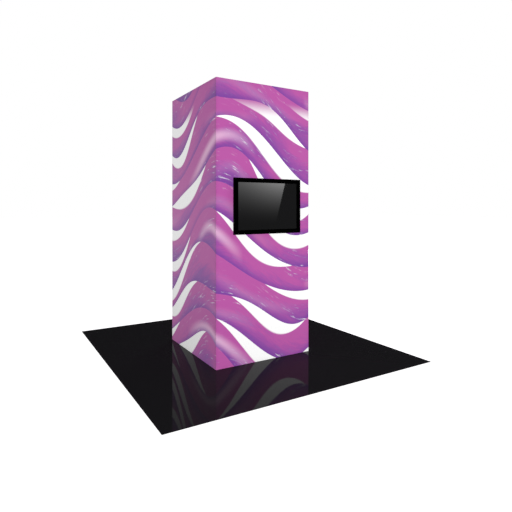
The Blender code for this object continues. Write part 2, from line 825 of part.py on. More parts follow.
def mast_head_brace():
    """The channel from the front top rail to the rear one, with a collar round the mast's head."""
    half = BRACE_WIDTH / 2
    reach = INNER - GAP
    bm = bmesh.new()
    add_block(bm, (-half, half), (-reach, reach), (BRACE_BOTTOM, BRACE_TOP))
    item = new_object("mast_head_brace", bm, steel_plate())
    extra = bmesh.new()
    wide = END_PLATE_WIDTH / 2
    for y in ((-reach, -reach + END_PLATE_THICKNESS), (reach - END_PLATE_THICKNESS, reach)):
        add_block(extra, (-wide, wide), y, (BRACE_BOTTOM, BRACE_TOP))
    bore = MAST_WIDTH / 2 + GAP
    ring = bore + COLLAR_WALL
    foot = BRACE_BOTTOM - COLLAR_HEIGHT
    add_block(extra, (-ring, ring), (-ring, ring), (foot, BRACE_BOTTOM + PROFILE_WALL))
    combine(item, extra, "UNION")
    hollow = bmesh.new()
    add_block(hollow, (-bore, bore), (-bore, bore), (foot - OVERRUN, BRACE_BOTTOM))
    inside = half - PROFILE_WALL
    end = reach - END_PLATE_THICKNESS
    add_block(hollow, (-inside, inside), (-end, end), (BRACE_BOTTOM + PROFILE_WALL, BRACE_TOP + OVERRUN))
    cut(item, hollow)
    fasten(item, brace_bolts())


def led_bar(name, side):
    """An aluminium bar on one side of the mast, with its row of lenses."""
    low = FOOT_TOP + BAR_FROM_FOOT
    high = BRACE_BOTTOM - COLLAR_HEIGHT - BAR_FROM_COLLAR
    near = MAST_WIDTH / 2 + GAP
    half = BAR_WIDTH / 2
    bm = bmesh.new()
    add_block(bm, (-half, half), (-near - BAR_DEPTH, -near), (low, high), quarter(side))
    item = new_object(name, bm, lens_plastic())
    lenses = bmesh.new()
    face = near + BAR_DEPTH
    profile = [(LENS_RADIUS, -BAR_DEPTH / 2), (LENS_RADIUS, LENS_HEIGHT / 2), (LENS_TOP_RADIUS, LENS_HEIGHT)]
    for i in range(LENSES_ON_A_BAR):
        z = low + (high - low) * (i + 0.5) / LENSES_ON_A_BAR
        add_turned(lenses, profile, LENS_SIDES, quarter(side) @ facing((0, -face, z), (0, -1, 0)))
    combine(item, lenses, "UNION")
    smooth(item)


def led_driver():
    """The supply for the light bars, held by an ear on each side."""
    half = DRIVER_WIDTH / 2
    low = BASE_TOP + GAP
    y = (DRIVER_REAR - DRIVER_LENGTH, DRIVER_REAR)
    bm = bmesh.new()
    add_block(bm, (BOX_X - half, BOX_X + half), y, (low, low + DRIVER_HEIGHT))
    item = new_object("led_driver", bm, white_enamel())
    ears = bmesh.new()
    reach = half + DRIVER_EAR
    y = (DRIVER_MIDDLE - DRIVER_EAR_LENGTH / 2, DRIVER_MIDDLE + DRIVER_EAR_LENGTH / 2)
    add_block(ears, (BOX_X - reach, BOX_X + reach), y, (low, low + DRIVER_EAR_THICKNESS))
    combine(item, ears, "UNION")
    fasten(item, driver_bolts())


def junction_box():
    """The hollow box where the mains cable is shared out, with a round entry for each cable."""
    bm = bmesh.new()
    x = (BOX_X - BOX_LENGTH / 2, BOX_X + BOX_LENGTH / 2)
    y = (BOX_Y - BOX_DEPTH / 2, BOX_Y + BOX_DEPTH / 2)
    low = BASE_TOP + GAP
    high = low + BOX_HEIGHT
    add_block(bm, x, y, (low, high))
    item = new_object("junction_box", bm, grey_plastic())
    hollow = bmesh.new()
    wall = BOX_WALL
    add_block(hollow, (x[0] + wall, x[1] - wall), (y[0] + wall, y[1] - wall), (low + wall, high - wall))
    cut(item, hollow)
    entries = bmesh.new()
    hole = circle(MAINS_CABLE_RADIUS + CABLE_ENTRY_CLEARANCE, STANDOFF_SIDES)
    for point, axis in ((MAINS_ROUTE[-1], (0, 1, 0)), (MONITOR_ROUTE[0], (1, 0, 0))):
        add_prism(entries, hole, -2 * wall, 2 * wall, facing(point, axis))
    cut(item, entries)


# Monitor mount

def beam(name, height):
    """A square tube between the front posts, just behind the fabric."""
    half = BEAM_DEPTH / 2
    reach = INNER - GAP
    y = (BEAM_FRONT, BEAM_FRONT + BEAM_DEPTH)
    bm = bmesh.new()
    add_block(bm, (-reach, reach), y, (height - half, height + half))
    item = new_object(name, bm, anodised())
    wall = PROFILE_WALL
    inside = half - wall
    hollow = bmesh.new()
    x = (-reach - OVERRUN, reach + OVERRUN)
    add_block(hollow, x, (y[0] + wall, y[1] - wall), (height - inside, height + inside))
    cut(item, hollow)
    ends = bmesh.new()
    tall = BEAM_END_HEIGHT / 2
    for x in ((-reach, BRACKET_THICKNESS - reach), (reach - BRACKET_THICKNESS, reach)):
        add_block(ends, x, y, (height - tall, height + tall))
    combine(item, ends, "UNION")
    cut(item, stud_holes())
    fasten(item, beam_bolts(height))


def standoff_points():
    """Where the stand-offs pass through the fabric, by name."""
    points = {}
    for row, z in (("lower", LOWER_BEAM_Z), ("upper", UPPER_BEAM_Z)):
        for hand, x in (("left", -STANDOFF_SPREAD), ("right", STANDOFF_SPREAD)):
            points[row + "_" + hand] = (x, z)
    return points


def stud_holes():
    """Cutters in the beams for the studs of the stand-offs."""
    bm = bmesh.new()
    for x, z in standoff_points().values():
        place = facing((x, BEAM_FRONT, z), (0, -1, 0))
        grip = PROFILE_WALL + BOLT_TAIL + GAP
        add_prism(bm, circle(STUD_RADIUS + GAP, STANDOFF_SIDES), -grip, OVERRUN, place)
    return bm


def standoff(name, x, z):
    """A spacer through the fabric: a stud in the beam behind, and a bore for the wall plate's bolt."""
    place = facing((x, BEAM_FRONT, z), (0, -1, 0))
    length = BEAM_FRONT - PLATE_BACK - GAP
    profile = [(STUD_RADIUS, -PROFILE_WALL - BOLT_TAIL), (STUD_RADIUS, GAP)]
    profile += [(STANDOFF_RADIUS, GAP), (STANDOFF_RADIUS, length)]
    bm = bmesh.new()
    add_turned(bm, profile, STANDOFF_SIDES, place)
    item = new_object("standoff_" + name, bm, anodised())
    bore = bmesh.new()
    hole = circle(STUD_RADIUS + GAP, STANDOFF_SIDES)
    add_prism(bore, hole, length - STANDOFF_BORE_DEPTH, length + OVERRUN, place)
    cut(item, bore)
    smooth(item)


def wall_plate():
    """The fixed plate of the mount, with two ears for each arm and four bolts into the stand-offs."""
    half = WALL_PLATE_HALF_WIDTH
    bm = bmesh.new()
    z = (PIVOT_Z - WALL_PLATE_MARGIN, MONITOR_Z + WALL_PLATE_TOP)
    add_block(bm, (-half, half), (PLATE_FRONT, PLATE_BACK), z)
    item = new_object("wall_plate", bm, black_metal())
    ears = bmesh.new()
    near = ARM_WIDTH / 2 + GAP
    y = (PIVOT_Y - EAR_REACH, PLATE_BACK - WALL_PLATE_THICKNESS / 2)
    z = (PIVOT_Z - EAR_HALF_HEIGHT, PIVOT_Z + EAR_HALF_HEIGHT)
    for arm in (-ARM_SPREAD, ARM_SPREAD):
        add_block(ears, (arm + near, arm + near + EAR_THICKNESS), y, z)
        add_block(ears, (arm - near - EAR_THICKNESS, arm - near), y, z)
    combine(item, ears, "UNION")
    cut(item, pin_holes())
    bolts = bmesh.new()
    for x, z in standoff_points().values():
        place = facing((x, PLATE_FRONT, z), (0, -1, 0))
        grip = WALL_PLATE_THICKNESS + STANDOFF_BORE_DEPTH - GAP
        add_fastener(bolts, place, grip, STUD_RADIUS, STUD_HEAD_RADIUS, STUD_HEAD_HEIGHT, STANDOFF_SIDES)
    combine(item, bolts, "UNION")


def pin_holes():
    """Cutters for the pivot pins, through the ears and the arms."""
    bm = bmesh.new()
    for arm in (-ARM_SPREAD, ARM_SPREAD):
        place = facing((arm, PIVOT_Y, PIVOT_Z), (1, 0, 0))
        reach = ARM_WIDTH / 2 + GAP + EAR_THICKNESS + GAP / 2
        add_prism(bm, circle(PIVOT_RADIUS + GAP, STANDOFF_SIDES), -reach, reach, place)
    return bm


def pivot_pin(name, arm):
    """A headed pin that an arm turns on."""
    span = ARM_WIDTH / 2 + GAP + EAR_THICKNESS + GAP
    tip = span + PIVOT_HEAD_HEIGHT
    profile = [(PIVOT_HEAD_RADIUS, -tip), (PIVOT_HEAD_RADIUS, -span), (PIVOT_RADIUS, -span)]
    profile += [(PIVOT_RADIUS, span), (PIVOT_HEAD_RADIUS, span), (PIVOT_HEAD_RADIUS, tip)]
    bm = bmesh.new()
    add_turned(bm, profile, STANDOFF_SIDES, facing((arm, PIVOT_Y, PIVOT_Z), (1, 0, 0)))
    smooth(new_object(name, bm, zinc()))


def arm_bolts(x):
    """The two bolts that hold an arm to the monitor."""
    grip = ARM_WALL + GAP + COVER_WALL + BOLT_TAIL
    bolts = []
    for z in (-ARM_BOLT_FROM_CENTRE, ARM_BOLT_FROM_CENTRE):
        bolts.append((facing((x, ARM_FRONT + ARM_WALL, MONITOR_Z + z), (0, 1, 0)), grip))
    return bolts


def tilt_arm(name, x):
    """A channel on the monitor's back that turns on a pivot pin."""
    half = ARM_WIDTH / 2
    wall = ARM_WALL
    outline = [(-half, 0), (half, 0), (half, ARM_DEPTH), (half - wall, ARM_DEPTH), (half - wall, wall)]
    outline += [(wall - half, wall), (wall - half, ARM_DEPTH), (-half, ARM_DEPTH)]
    bm = bmesh.new()
    add_prism(bm, outline, PIVOT_Z - ARM_TAIL, MONITOR_Z + ARM_TOP, at(x, ARM_FRONT, 0))
    item = new_object(name, bm, black_metal())
    cut(item, pin_holes())
    fasten(item, arm_bolts(x))
    return item


# Monitor: outlines are drawn in X and Z about its centre, and run towards the viewer, along -Y

def panel_place(y):
    """The place of an outline whose back lies at y."""
    return at(0, y, MONITOR_Z) @ ALONG_Y


def key_points():
    """Where the two buttons stand, along X."""
    first = MONITOR_WIDTH / 2 - KEY_FROM_EDGE
    return {"power_button": first, "input_button": first - KEY_PITCH}


def key_place(x):
    """The place of a button's outline, on the underside of the bezel."""
    turn = Matrix.Rotation(math.radians(90.0), 4, "Z")
    return at(x, BEZEL_FACE + KEY_FROM_FRONT, MONITOR_Z - MONITOR_HEIGHT / 2) @ turn


def monitor_bezel():
    """The front frame: a thin lip round the window and a wall round the sides."""
    outline = rounded_outline(MONITOR_WIDTH, MONITOR_HEIGHT, BEZEL_CORNER, CORNER_STEPS)
    bm = bmesh.new()
    add_prism(bm, outline, 0, BEZEL_DEPTH, panel_place(BEZEL_BACK))
    item = new_object("monitor_bezel", bm, satin_black())
    hollow = bmesh.new()
    wide = MONITOR_WIDTH / 2 - BEZEL_WALL
    tall = MONITOR_HEIGHT / 2 - BEZEL_WALL
    deep = BEZEL_DEPTH - BEZEL_LIP
    add_block(hollow, (-wide, wide), (-tall, tall), (-OVERRUN, deep), panel_place(BEZEL_BACK))
    cut(item, hollow)
    window = bmesh.new()
    wide = WINDOW_WIDTH / 2
    tall = WINDOW_HEIGHT / 2
    add_block(window, (-wide, wide), (-tall, tall), (0, BEZEL_DEPTH + OVERRUN), panel_place(BEZEL_BACK))
    cut(item, window)
    keys = bmesh.new()
    hole = slot_outline(KEY_LENGTH + 2 * GAP, KEY_WIDTH + 2 * GAP, CORNER_STEPS)
    for x in key_points().values():
        add_prism(keys, hole, -KEY_PROUD, BEZEL_WALL + KEY_FLANGE, key_place(x))
    cut(item, keys)
    return item


def button(name, x):
    """A key that stands a little proud of the underside, with a flange inside the bezel."""
    place = key_place(x)
    bm = bmesh.new()
    low = BEZEL_WALL + GAP
    add_prism(bm, slot_outline(KEY_LENGTH, KEY_WIDTH, CORNER_STEPS), -KEY_PROUD, low + KEY_FLANGE / 2, place)
    item = new_object(name, bm, grey_plastic())
    flange = bmesh.new()
    lap = 2 * KEY_FLANGE_LAP
    outline = slot_outline(KEY_LENGTH + lap, KEY_WIDTH + lap, CORNER_STEPS)
    add_prism(flange, outline, low, low + KEY_FLANGE, place)
    combine(item, flange, "UNION")
    smooth(item)
    move_origin(item, place.to_translation())
    return item


def flat_panel(name, lap, back, thickness, look):
    """A flat layer of the monitor, larger than the window by lap on each side."""
    wide = WINDOW_WIDTH / 2 + lap
    tall = WINDOW_HEIGHT / 2 + lap
    bm = bmesh.new()
    add_block(bm, (-wide, wide), (-tall, tall), (0, thickness), panel_place(back))
    return new_object(name, bm, look)


def layer_backs():
    """The back face of the glass, the LCD panel and the chassis, one behind the other."""
    glass = BEZEL_FACE + BEZEL_LIP + GAP + GLASS_THICKNESS
    lcd = glass + GAP + LCD_THICKNESS
    chassis = lcd + GAP + CHASSIS_THICKNESS
    return glass, lcd, chassis


def monitor_chassis():
    """The steel tray behind the LCD panel, as wide as the inside of the bezel."""
    back = layer_backs()[2]
    wide = MONITOR_WIDTH / 2 - BEZEL_WALL - GAP
    tall = MONITOR_HEIGHT / 2 - BEZEL_WALL - GAP
    bm = bmesh.new()
    add_block(bm, (-wide, wide), (-tall, tall), (0, CHASSIS_THICKNESS), panel_place(back))
    return new_object("monitor_chassis", bm, steel_plate())


def main_board():
    """The circuit board behind the chassis, with its tall parts."""
    front = layer_backs()[2] + GAP
    place = panel_place(front + BOARD_THICKNESS) @ at(BOARD_FROM_CENTRE, 0, 0)
    wide = MAIN_BOARD_WIDTH
    tall = MAIN_BOARD_HEIGHT
    board = bmesh.new()
    add_block(board, (-wide / 2, wide / 2), (-tall / 2, tall / 2), (0, BOARD_THICKNESS), place)
    item = new_object("main_board", board, circuit_board())
    parts = bmesh.new()
    for column in (-1, 1):
        for row in (-1, 1):
            x = column * wide / 4
            z = row * tall / 4
            part_x = (x - wide / 8, x + wide / 8)
            part_z = (z - tall / 8, z + tall / 8)
            add_block(parts, part_x, part_z, (-BOARD_PARTS_HEIGHT, BOARD_THICKNESS / 2), place)
    combine(item, parts, "UNION")
    return item


def rear_cover():
    """The shell behind the chassis, with sides that slope in and vents near its top."""
    wide = MONITOR_WIDTH - 2 * COVER_INSET
    tall = MONITOR_HEIGHT - 2 * COVER_INSET
    fall = COVER_DEPTH - COVER_RIM
    layers = []
    for inset, height in ((COVER_TAPER, 0), (0, fall), (0, COVER_DEPTH)):
        outline = rounded_outline(wide - 2 * inset, tall - 2 * inset, BEZEL_CORNER, CORNER_STEPS)
        layers.append((outline, height))
    bm = bmesh.new()
    add_layers(bm, layers, panel_place(COVER_BACK))
    item = new_object("rear_cover", bm, satin_black())
    wall = COVER_WALL * math.hypot(COVER_TAPER, fall) / fall
    deepest = wall + COVER_TAPER * (1 - COVER_WALL / fall)
    layers = []
    for inset, height in ((deepest, COVER_WALL), (wall, fall), (wall, COVER_DEPTH + OVERRUN)):
        layers.append((rectangle(wide - 2 * inset, tall - 2 * inset), height))
    hollow = bmesh.new()
    add_layers(hollow, layers, panel_place(COVER_BACK))
    cut(item, hollow)
    vents = bmesh.new()
    slot = slot_outline(COVER_VENT_LENGTH, COVER_VENT_WIDTH, CORNER_STEPS)
    for i in range(COVER_VENTS):
        x = COVER_VENT_PITCH * (i - (COVER_VENTS - 1) / 2)
        place = panel_place(COVER_BACK) @ at(x, COVER_VENTS_ABOVE_CENTRE, 0)
        add_prism(vents, slot, -OVERRUN, COVER_WALL + OVERRUN, place)
    cut(item, vents)
    for arm in (-ARM_SPREAD, ARM_SPREAD):
        cut(item, bolt_holes(arm_bolts(arm)))
    return item


def monitor():
    """Everything that tilts, under one empty on the pivots' axis."""
    glass, lcd, _ = layer_backs()
    pieces = [
        monitor_bezel(),
        flat_panel("front_glass", GLASS_LAP, glass, GLASS_THICKNESS, screen_glass()),
        flat_panel("lcd_panel", LCD_LAP, lcd, LCD_THICKNESS, grey_plastic()),
        monitor_chassis(),
        main_board(),
        rear_cover(),
        tilt_arm("tilt_arm_left", -ARM_SPREAD),
        tilt_arm("tilt_arm_right", ARM_SPREAD),
    ]
    for name, x in key_points().items():
        pieces.append(button(name, x))
    pivot = bpy.data.objects.new("monitor_tilt", None)
    pivot.location = (0, PIVOT_Y, PIVOT_Z)
    bpy.context.collection.objects.link(pivot)
    bpy.context.view_layer.update()
    for piece in pieces:
        piece.parent = pivot
        piece.matrix_parent_inverse = pivot.matrix_world.inverted()


# Mains inlet: its pieces are drawn about the middle of the plate's outer face

def inlet_place(x):
    """A place on the inlet plate's face, x from its middle, with its Z out of the tower."""
    turn = Matrix(((-1, 0, 0, 0), (0, 0, 1, 0), (0, 1, 0, 0), (0, 0, 0, 1)))
    return at(INLET_X + x, INLET_FACE, INLET_Z) @ turn


def add_inlet_block(bm, x, width, height, low, high):
    """Adds a box on the inlet: width by height, from low to high out of the plate's face."""
    add_block(bm, (-width / 2, width / 2), (-height / 2, height / 2), (low, high), inlet_place(x))


def inlet_window():
    """The cutter for the inlet module, through the plate, the fabric and the rail's wall."""
    bm = bmesh.new()
    fit = 2 * GAP
    add_inlet_block(bm, 0, MODULE_WIDTH + fit, MODULE_HEIGHT + fit, -MODULE_DEPTH - OVERRUN, OVERRUN)
    return bm


def inlet_plate():
    """The plate round the inlet, with its four screws."""
    bm = bmesh.new()
    add_inlet_block(bm, 0, INLET_WIDTH, INLET_HEIGHT, -INLET_THICKNESS, 0)
    item = new_object("inlet_plate", bm, black_metal())
    cut(item, inlet_window())
    add_screws(item, inlet_screws())


def inlet_module():
    """The moulded block with the mains socket, its three pins and the cavity of the switch."""
    bm = bmesh.new()
    add_inlet_block(bm, 0, MODULE_WIDTH, MODULE_HEIGHT, MODULE_PROUD - MODULE_DEPTH, MODULE_PROUD)
    item = new_object("inlet_module", bm, satin_black())
    floor = MODULE_PROUD - RECESS_DEPTH
    hollow = bmesh.new()
    high = MODULE_PROUD + OVERRUN
    add_inlet_block(hollow, SOCKET_X, RECESS_WIDTH, RECESS_HEIGHT, floor, high)
    add_inlet_block(hollow, -SWITCH_X, SWITCH_WIDTH, SWITCH_HEIGHT, MODULE_PROUD - SWITCH_DEPTH, high)
    cut(item, hollow)
    pins = bmesh.new()
    for column, row in ((-1, -1), (0, 1), (1, -1)):
        place = inlet_place(SOCKET_X) @ at(column * PIN_PITCH, row * PIN_STEP, 0)
        x = (-PIN_WIDTH / 2, PIN_WIDTH / 2)
        y = (-PIN_HEIGHT / 2, PIN_HEIGHT / 2)
        add_block(pins, x, y, (floor - PIN_WIDTH, floor + PIN_LENGTH), place)
    combine(item, pins, "UNION")


def switch_rocker():
    """The rocker, resting at one end of its throw. It turns about an upright axis."""
    front = [(ROCKER_HALF_WIDTH, ROCKER_TIP), (0, 0), (-ROCKER_HALF_WIDTH, ROCKER_TIP)]
    back = [(-ROCKER_HALF_WIDTH, -ROCKER_EDGE), (-ROCKER_BACK_HALF_WIDTH, -ROCKER_BACK),
            (ROCKER_BACK_HALF_WIDTH, -ROCKER_BACK), (ROCKER_HALF_WIDTH, -ROCKER_EDGE)]
    half = SWITCH_HEIGHT / 2 - GAP
    pivot = at(INLET_X - SWITCH_X, INLET_FACE + MODULE_PROUD - ROCKER_PIVOT, INLET_Z)
    turn = Matrix.Rotation(-ROCKER_THROW / 2, 4, "Z")
    bm = bmesh.new()
    add_prism(bm, front + back, -half, half, pivot @ turn @ at(0, ROCKER_PIVOT, 0))
    item = new_object("switch_rocker", bm, gloss_key())
    move_origin(item, pivot.to_translation())


# Cables held inside. Their points are chosen by hand, and counted from the posts' inner faces (x and
# y) and from the top of the base plate or the monitor's middle (z)

CABLE_HOLE = (INLET_X + SOCKET_X, INNER - 0.066)
MONITOR_CABLE_EXIT = (0.300, MONITOR_Z - 0.247)


def route(offsets, x, y, z):
    """The points of a cable, from their offsets along each axis."""
    return [(x + dx, y + dy, z + dz) for dx, dy, dz in offsets]


MAINS_ROUTE = route([
    (0, 0.0286, -0.0263), (0, 0.010, -0.0263), (0, -0.015, -0.0263), (0, -0.042, -0.0206),
    (0, -0.061, -0.0046), (0, -0.080, 0.0164), (0, -0.103, 0.0259), (0, -0.122, 0.0264),
    (0, -0.146, 0.0264),
], INLET_X + SOCKET_X, INNER, BASE_TOP)
MONITOR_ROUTE = route([
    (-0.0910, -0.190, 0.0264), (-0.070, -0.190, 0.0264), (-0.045, -0.200, 0.0214),
    (-0.030, -0.235, 0.0114), (-0.026, -0.300, 0.0046),
], INNER, INNER, BASE_TOP) + route([
    (-0.024, 0.550, 0.0046), (-0.022, 0.250, 0.0046), (-0.012, 0.100, 0.0074),
    (-0.005, 0.030, 0.0194), (-0.0041, -0.002, 0.0514), (-0.0041, -0.010, 0.1114),
], INNER, -INNER, BASE_TOP) + route([
    (-0.0041, -0.010, -1.177), (-0.0041, -0.010, -0.777), (-0.0041, -0.010, -0.427),
    (-0.006, -0.006, -0.337), (-0.030, 0.001, -0.292), (-0.100, 0.004, -0.272),
], INNER, -INNER, MONITOR_Z) + route([
    (0.070, 0, -0.257), (0.018, -0.016, -0.247), (0, -0.042, -0.247), (0, -0.0736, -0.247),
], MONITOR_CABLE_EXIT[0], -INNER, MONITOR_Z)
LIGHT_LEAD = route([
    (0, -0.0003, 0.0264), (0, -0.020, 0.0254), (-0.015, -0.053, 0.0154), (-0.070, -0.073, 0.0039),
], BOX_X, DRIVER_REAR - DRIVER_LENGTH, BASE_TOP) + route([
    (0.220, 0, 0.0029), (0.120, 0, 0.0039), (0.075, 0, 0.0109), (0.045, 0, 0.0114),
    (0.0345, 0, 0.0224), (0.0343, 0, 0.0359),
], 0, 0, BASE_TOP)


def smooth_route(points, steps):
    """Points along a smooth curve through the given ones."""
    places = [Vector(p) for p in points]
    places = [2 * places[0] - places[1]] + places + [2 * places[-1] - places[-2]]
    curved = []
    for a, b, c, d in zip(places, places[1:], places[2:], places[3:]):
        for i in range(steps):
            t = i / steps
            bend = (2 * a - 5 * b + 4 * c - d) * t * t + (3 * b - a - 3 * c + d) * t * t * t
            curved.append(b + ((c - a) * t + bend) / 2)
    curved.append(places[-2])
    return curved


def cable(name, points, radius):
    """A round cable with filled ends."""
    curve = bpy.data.curves.new(name, "CURVE")
    curve.dimensions = "3D"
    curve.bevel_depth = radius
    curve.bevel_resolution = 2
    curve.use_fill_caps = True
    places = smooth_route(points, ROUTE_STEPS)
    spline = curve.splines.new("POLY")
    spline.points.add(len(places) - 1)
    for point, place in zip(spline.points, places):
        point.co = (*place, 1.0)
    item = bpy.data.objects.new(name, curve)
    bpy.context.collection.objects.link(item)
    curve.materials.append(cable_sheath())


def cables():
    """The mains cable, the monitor's cable and the lead from the driver to the light bars."""
    cable("mains_cable", MAINS_ROUTE, MAINS_CABLE_RADIUS)
    cable("monitor_cable", MONITOR_ROUTE, MAINS_CABLE_RADIUS)
    cable("light_lead", LIGHT_LEAD, LEAD_RADIUS)


def build():
    clear_scene()
    floor_sheet()
    rails()
    for side, name in enumerate(POSTS):
        corner_post(name, side)
        corner_bracket("bottom_bracket_" + name, side, 1)
        corner_bracket("top_bracket_" + name, side, -1)
    for side, name in enumerate(SIDES):
        fabric(side, name)
        led_bar("led_bar_" + name, side)
    top_panel()
    base_plate()
    light_mast()
    mast_head_brace()
    led_driver()
    junction_box()
    beam("mount_beam_lower", LOWER_BEAM_Z)
    beam("mount_beam_upper", UPPER_BEAM_Z)
    for name, (x, z) in standoff_points().items():
        standoff(name, x, z)
    wall_plate()
    pivot_pin("pivot_pin_left", -ARM_SPREAD)
    pivot_pin("pivot_pin_right", ARM_SPREAD)
    monitor()
    inlet_plate()
    inlet_module()
    switch_rocker()
    cables()


build()
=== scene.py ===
# %% [markdown]
# # A backlit display tower
# The real thing is a square aluminium frame, taller than a person can reach, with printed fabric
# stretched over its four sides and lamps on a mast in the middle. A monitor hangs on the front,
# and everything stands on a gloss black sheet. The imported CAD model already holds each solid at
# its true size. It could be drawn again here, but then two models would have to agree, so this
# lesson loads it and adds what CAD leaves out: cloth, print, finishes and light.

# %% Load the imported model
import math

import bmesh
import bpy
from mathutils import Matrix, Vector


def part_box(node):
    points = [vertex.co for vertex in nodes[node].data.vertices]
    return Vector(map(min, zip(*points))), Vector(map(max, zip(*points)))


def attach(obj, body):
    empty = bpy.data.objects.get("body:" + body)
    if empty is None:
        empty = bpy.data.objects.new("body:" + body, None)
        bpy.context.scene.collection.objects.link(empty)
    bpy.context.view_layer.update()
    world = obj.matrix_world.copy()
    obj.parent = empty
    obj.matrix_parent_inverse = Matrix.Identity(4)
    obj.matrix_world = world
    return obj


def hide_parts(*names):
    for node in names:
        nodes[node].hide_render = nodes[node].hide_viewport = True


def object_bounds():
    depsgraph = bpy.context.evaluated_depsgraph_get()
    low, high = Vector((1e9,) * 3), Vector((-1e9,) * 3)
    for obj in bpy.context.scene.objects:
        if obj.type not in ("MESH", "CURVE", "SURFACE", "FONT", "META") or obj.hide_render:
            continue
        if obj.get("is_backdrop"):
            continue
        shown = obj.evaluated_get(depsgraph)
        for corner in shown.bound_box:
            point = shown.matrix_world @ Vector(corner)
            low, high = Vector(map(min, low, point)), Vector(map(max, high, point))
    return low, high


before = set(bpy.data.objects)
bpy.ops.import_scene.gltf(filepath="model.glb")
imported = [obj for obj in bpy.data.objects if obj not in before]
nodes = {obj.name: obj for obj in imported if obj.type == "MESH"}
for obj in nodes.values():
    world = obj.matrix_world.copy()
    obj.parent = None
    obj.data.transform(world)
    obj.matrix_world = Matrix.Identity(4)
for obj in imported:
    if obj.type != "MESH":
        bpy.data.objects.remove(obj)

cad_low, cad_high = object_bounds()
print(len(nodes), "solids,", [round(b - a, 3) for a, b in zip(cad_low, cad_high)], "m over all")

# %% [markdown]
# ## Sizes read from the solids
# The fabric, the monitor and the sheet are measured on the CAD solids themselves. Typing the
# numbers again would work too, until someone changed the part. Reading them keeps every added
# piece on the solid that carries it.

# %% Measure what the new pieces fit
HEM_ABOVE_TRIM = 0.0005  # the fabric ends a little above its trim
front_low, front_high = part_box("fabric_front")
face = -front_low.y  # from the middle of the tower to the outside of the fabric
hem_height = front_low.z + HEM_ABOVE_TRIM
top_height = front_high.z
frame_low, frame_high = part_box("corner_post_front_left")
post_outside = -frame_low.x  # the outside of the aluminium frame
side_length = 2 * post_outside
sheet_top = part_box("floor_sheet")[1].z
bezel_low, bezel_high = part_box("monitor_bezel")
glass_low, glass_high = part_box("front_glass")
print("tower", round(2 * face, 4), "m wide,", round(top_height - sheet_top, 4), "m high")
print("monitor", [round(v, 4) for v in bezel_high - bezel_low])

# %% [markdown]
# ## Small tools for shaders
# Every finish here is worked out by nodes instead of pictures, so it has no resolution and
# repeats nowhere. Node trees are long to write out by hand. A few short helpers make them read
# almost like sums: they start a finish, feed one input or several, do arithmetic, mix two
# colours, and turn a range of numbers into another.

# %% Helpers for node trees
def new_finish(name):
    """A material with one Principled shader. Gives the material, its tree and the shader."""
    finish = bpy.data.materials.new(name)
    finish.use_nodes = True
    return finish, finish.node_tree, finish.node_tree.nodes["Principled BSDF"]


def feed(tree, socket, value):
    """Joins a socket to another node's output, or sets it to a number or a colour."""
    if isinstance(value, bpy.types.NodeSocket):
        tree.links.new(value, socket)
    else:
        socket.default_value = value


def feed_all(tree, node, values):
    """Feeds several inputs of a node, each by its name."""
    for name, value in values.items():
        feed(tree, node.inputs[name], value)


def reckon(tree, operation, *values):
    """One step of arithmetic on numbers and outputs."""
    node = tree.nodes.new("ShaderNodeMath")
    node.operation = operation
    for socket, value in zip(node.inputs, values):
        feed(tree, socket, value)
    return node.outputs["Value"]


def mix_colours(tree, share, under, over):
    """The colour under, covered by over as far as share says."""
    node = tree.nodes.new("ShaderNodeMix")
    node.data_type = "RGBA"
    for number, value in ((0, share), (6, under), (7, over)):
        feed(tree, node.inputs[number], value)
    return node.outputs[2]


def fade(tree, value, low, high, start=0.0, end=1.0):
    """Runs softly from start to end while value runs from low to high."""
    node = tree.nodes.new("ShaderNodeMapRange")
    node.interpolation_type = "SMOOTHSTEP"
    for socket, number in zip(node.inputs, (value, low, high, start, end)):
        feed(tree, socket, number)
    return node.outputs["Result"]


print("helpers: new_finish, feed, feed_all, reckon, mix_colours, fade")

# %% [markdown]
# A second set of helpers gives surfaces their grain. Noise stands for anything uneven, such as
# dust, casting skin or ink. It is read at a place on the object, which can be drawn out along one
# axis. Bump turns a height into shading without adding points to the mesh, which is right for
# relief too fine to see from the side.

# %% Helpers for grain and relief
def object_place(tree):
    """Where a point lies on its own object, in metres."""
    return tree.nodes.new("ShaderNodeTexCoord").outputs["Object"]


def drawn_out(tree, stretch, turn=0.0):
    """The same place, with the grain drawn out along each axis whose stretch is small."""
    node = tree.nodes.new("ShaderNodeMapping")
    feed_all(tree, node, {"Vector": object_place(tree), "Rotation": (0.0, 0.0, turn),
                          "Scale": stretch})
    return node.outputs["Vector"]


def axes(tree, vector):
    """The X, Y and Z of a place."""
    node = tree.nodes.new("ShaderNodeSeparateXYZ")
    feed(tree, node.inputs["Vector"], vector)
    return tuple(node.outputs)


def grain(tree, scale, detail=2.0, roughness=0.5, place=None):
    """Soft random values round 0.5. Scale is the number of blots in a metre."""
    node = tree.nodes.new("ShaderNodeTexNoise")
    feed_all(tree, node, {"Vector": place or object_place(tree), "Scale": scale,
                          "Detail": detail, "Roughness": roughness})
    return node.outputs["Fac"]


def relief(tree, shader, height, depth, strength=1.0):
    """Presses a height into the surface. Depth is its real size in metres."""
    node = tree.nodes.new("ShaderNodeBump")
    feed_all(tree, node, {"Height": height, "Distance": depth, "Strength": strength})
    feed(tree, shader.inputs["Normal"], node.outputs["Normal"])


print("helpers: object_place, drawn_out, axes, grain, relief")

# %% [markdown]
# ## The print's colours
# The print is all one family: white, pale pink, magenta, purple and two violets. A picture could
# be painted and wrapped on, but it would blur up close. Here the colours are named once, as they
# look on a screen, and turned into the linear values that light adds up in.

# %% Name the colours of the print
def screen_colour(red, green, blue):
    """A colour given as 0 to 255 on a screen, as linear light."""
    shares = [channel / 255 for channel in (red, green, blue)]
    linear = [s / 12.92 if s <= 0.04045 else ((s + 0.055) / 1.055) ** 2.4 for s in shares]
    return (*linear, 1.0)


